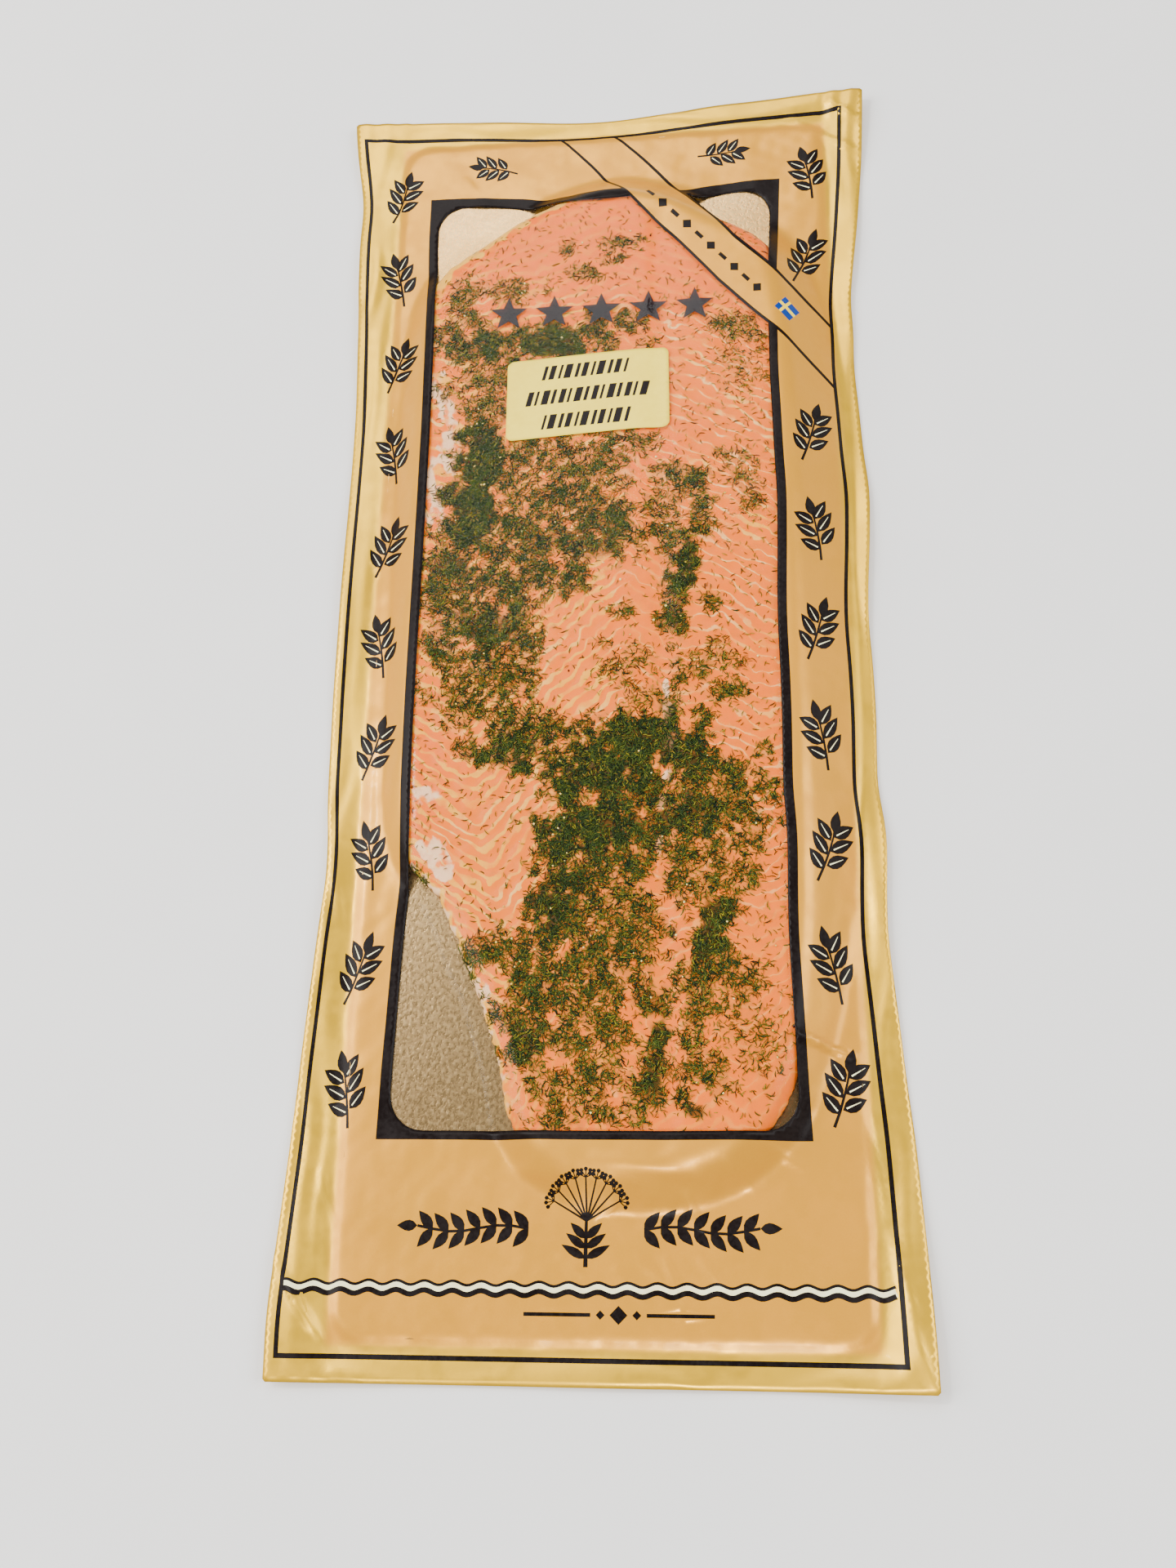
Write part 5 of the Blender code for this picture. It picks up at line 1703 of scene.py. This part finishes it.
@dataclass(frozen=True)
class Studio:
    """The pale floor, the soft light and the camera."""

    floor_half: float = 7.0
    floor_z: float = -0.0004
    floor_colours: tuple = ((0.78, 0.77, 0.75, 1), (0.82, 0.81, 0.79, 1))
    camera_place: tuple = (0.0545, -0.2491, 0.5522)
    camera_forward: tuple = (-0.0990, 0.3279, -0.9395)
    camera_up: tuple = (0.0204, 0.9446, 0.3276)
    lens: float = 33.75
    lamps: tuple = (
        ("left_light", (-1.7, 0.1, 1.3), 1.3, 52.0, (1.0, 0.98, 0.96)),
        ("right_light", (1.7, 0.0, 1.3), 1.3, 40.0, (0.98, 0.99, 1.0)),
        ("front_light", (0.1, -1.3, 1.4), 0.4, 24.0, (1.0, 0.99, 0.97)),
        ("back_light", (-0.4, 1.35, 1.6), 1.1, 22.0, (1.0, 0.99, 0.98)),
        ("near_light", (-1.0, 0.5, 1.6), 0.18, 15.0, (1.0, 0.99, 0.98)),
    )
    sky: Colour = (0.92, 0.93, 0.95, 1.0)
    sky_strength: float = 0.4

    def floor(self) -> bpy.types.Object:
        """A plain pale floor with a faint unevenness."""
        made, w, shader = new_material("pale_floor")
        colour = w.mix(w.noise(w.place(), 60, 2), *self.floor_colours)
        dress(w, shader, {"Base Color": colour, "Roughness": 0.85})
        half, z = self.floor_half / MM, self.floor_z / MM
        corners = np.array([(-half, -half, z), (half, -half, z), (half, half, z), (-half, half, z)])
        mesh = mesh_from("floor", corners, np.array([(0, 1, 2, 3)]))
        floor = add_piece("floor", mesh, [made])
        return floor

    def light(self) -> None:
        """Large soft lamps and an even pale sky."""
        for name, place, size, power, colour in self.lamps:
            lamp = bpy.data.lights.new(name, "AREA")
            lamp.shape, lamp.size, lamp.energy, lamp.color = "SQUARE", size, power, colour
            held = bpy.data.objects.new(name, lamp)
            held.location = place
            held.rotation_euler = (-Vector(place)).to_track_quat("-Z", "Y").to_euler()
            bpy.context.scene.collection.objects.link(held)
        world = bpy.data.worlds.new("pale_sky")
        world.use_nodes = True
        sky = world.node_tree.nodes["Background"]
        sky.inputs["Color"].default_value = self.sky
        sky.inputs["Strength"].default_value = self.sky_strength
        bpy.context.scene.world = world

    def camera(self) -> None:
        """The camera at the photograph's place."""
        forward, up = Vector(self.camera_forward).normalized(), Vector(self.camera_up)
        right = forward.cross(up).normalized()
        up = right.cross(forward)
        lens = bpy.data.cameras.new("camera")
        lens.lens, lens.sensor_width, lens.sensor_height, lens.sensor_fit = self.lens, 36, 36, "AUTO"
        lens.clip_start, lens.clip_end = 0.01, 20
        held = bpy.data.objects.new("camera", lens)
        turn = Matrix((right, up, -forward)).transposed().to_4x4()
        held.matrix_world = Matrix.Translation(self.camera_place) @ turn
        bpy.context.scene.collection.objects.link(held)
        bpy.context.scene.camera = held


@dataclass
class GravlaxPack:
    """The whole pack."""

    pouch: Pouch = field(default_factory=Pouch)
    board: Board = field(default_factory=Board)
    form: FishForm = field(default_factory=FishForm)
    layout: PrintLayout = field(default_factory=PrintLayout)

    def dress_board(self, effects: SharedEffects) -> None:
        """Gives the CAD's board its finish."""
        held = frame["nodes"]["board"]
        held.data.materials.clear()
        held.data.materials.append(FoilBoard().material("foil_board", effects))

    def build(self) -> None:
        """Builds and dresses every piece."""
        effects = SharedEffects()
        film = FilmForm(self.pouch, self.board, self.form)
        dark = PrintInk(srgb(15, 8, 7))
        ink = dark.material("dark_ink", effects)
        finishes = [
            GoldFilm().material("gold_film", effects), ink,
            PrintInk(srgb(247, 232, 176), 0.4).material("cream_ink", effects),
            PrintInk(srgb(12, 52, 124)).material("blue_ink", effects),
            PrintInk(srgb(250, 204, 18)).material("yellow_ink", effects),
            ClearFilm().material("clear_film", effects),
            ClearFilm().material("star_ink", effects, srgb(15, 9, 13), 0.8),
        ]
        films = PouchFilms(film, self.layout)
        films.front(finishes)
        films.back(finishes[0])
        self.dress_board(effects)
        fish = SlicedFish(self.form, film)
        flesh = fish.build(CuredFlesh().material("cured_flesh", effects))
        for strewn, finish in self.strewn():
            strewn.build(fish, flesh, finish)
        PaperLabel(film).build(LabelPaper().material("label_paper", effects), ink)

    def strewn(self) -> list[tuple[Strewn, bpy.types.Material]]:
        """Every kind of small piece on the fish with its finish."""
        deep = DillGreen(srgb(8, 22, 14), srgb(36, 54, 24)).material("deep_dill")
        green = DillGreen(srgb(26, 44, 18), srgb(74, 88, 28)).material("green_dill")
        olive = DillGreen(srgb(84, 84, 18), srgb(146, 136, 36)).material("olive_dill")
        brown = DillGreen(srgb(90, 72, 18), srgb(150, 118, 34)).material("brown_dill")
        cream = DillGreen(srgb(220, 176, 70), srgb(250, 226, 140), 0.38).material("seed_husk")
        russet = DillGreen(srgb(58, 16, 8), srgb(104, 34, 16), 0.3).material("dark_speck")
        needles = (
            ("deep", deep, 3.4, 0.52, 0.3, "thick", 118, 3, 0.45),
            ("green", green, 3.1, 0.46, 0.4, "dill", 84, 5, 0.5),
            ("olive", olive, 2.6, 0.42, 0.25, "over", 74, 6, 0.55),
            ("brown", brown, 2.5, 0.38, 0.2, "over", 32, 7, 0.55),
        )
        made = []
        for kind, finish, length, width, bend, mask, amount, seed, high in needles:
            shape = needle_mesh(kind + "_needle", length, width, bend)
            made.append((Strewn(kind + "_dill_needles", shape, mask, amount, seed, high=high), finish))
        sprig = sprig_mesh("sprig", 5.2, 4, 9)
        husk, speck = lump_mesh("husk", 1.1, 11), lump_mesh("speck", 1.0, 12)
        return made + [
            (Strewn("dill_sprigs", sprig, "clumps", 16, 9, tilt=7, low=0.2, high=0.5), green),
            (Strewn("seed_husks", husk, "few", 1.4, 11, 0.5, 1.15, 40, 0.3, 0.6), cream),
            (Strewn("dark_specks", speck, "few", 0.25, 13, 0.5, 1.2, 40, 0.2, 0.5), russet),
        ]


def main() -> None:
    """Builds the pack and the studio."""
    logging.basicConfig(level=logging.INFO, format="%(message)s")
    GravlaxPack().build()
    studio = Studio()
    studio.floor()
    studio.light()
    studio.camera()


if __name__ == "__main__":
    main()
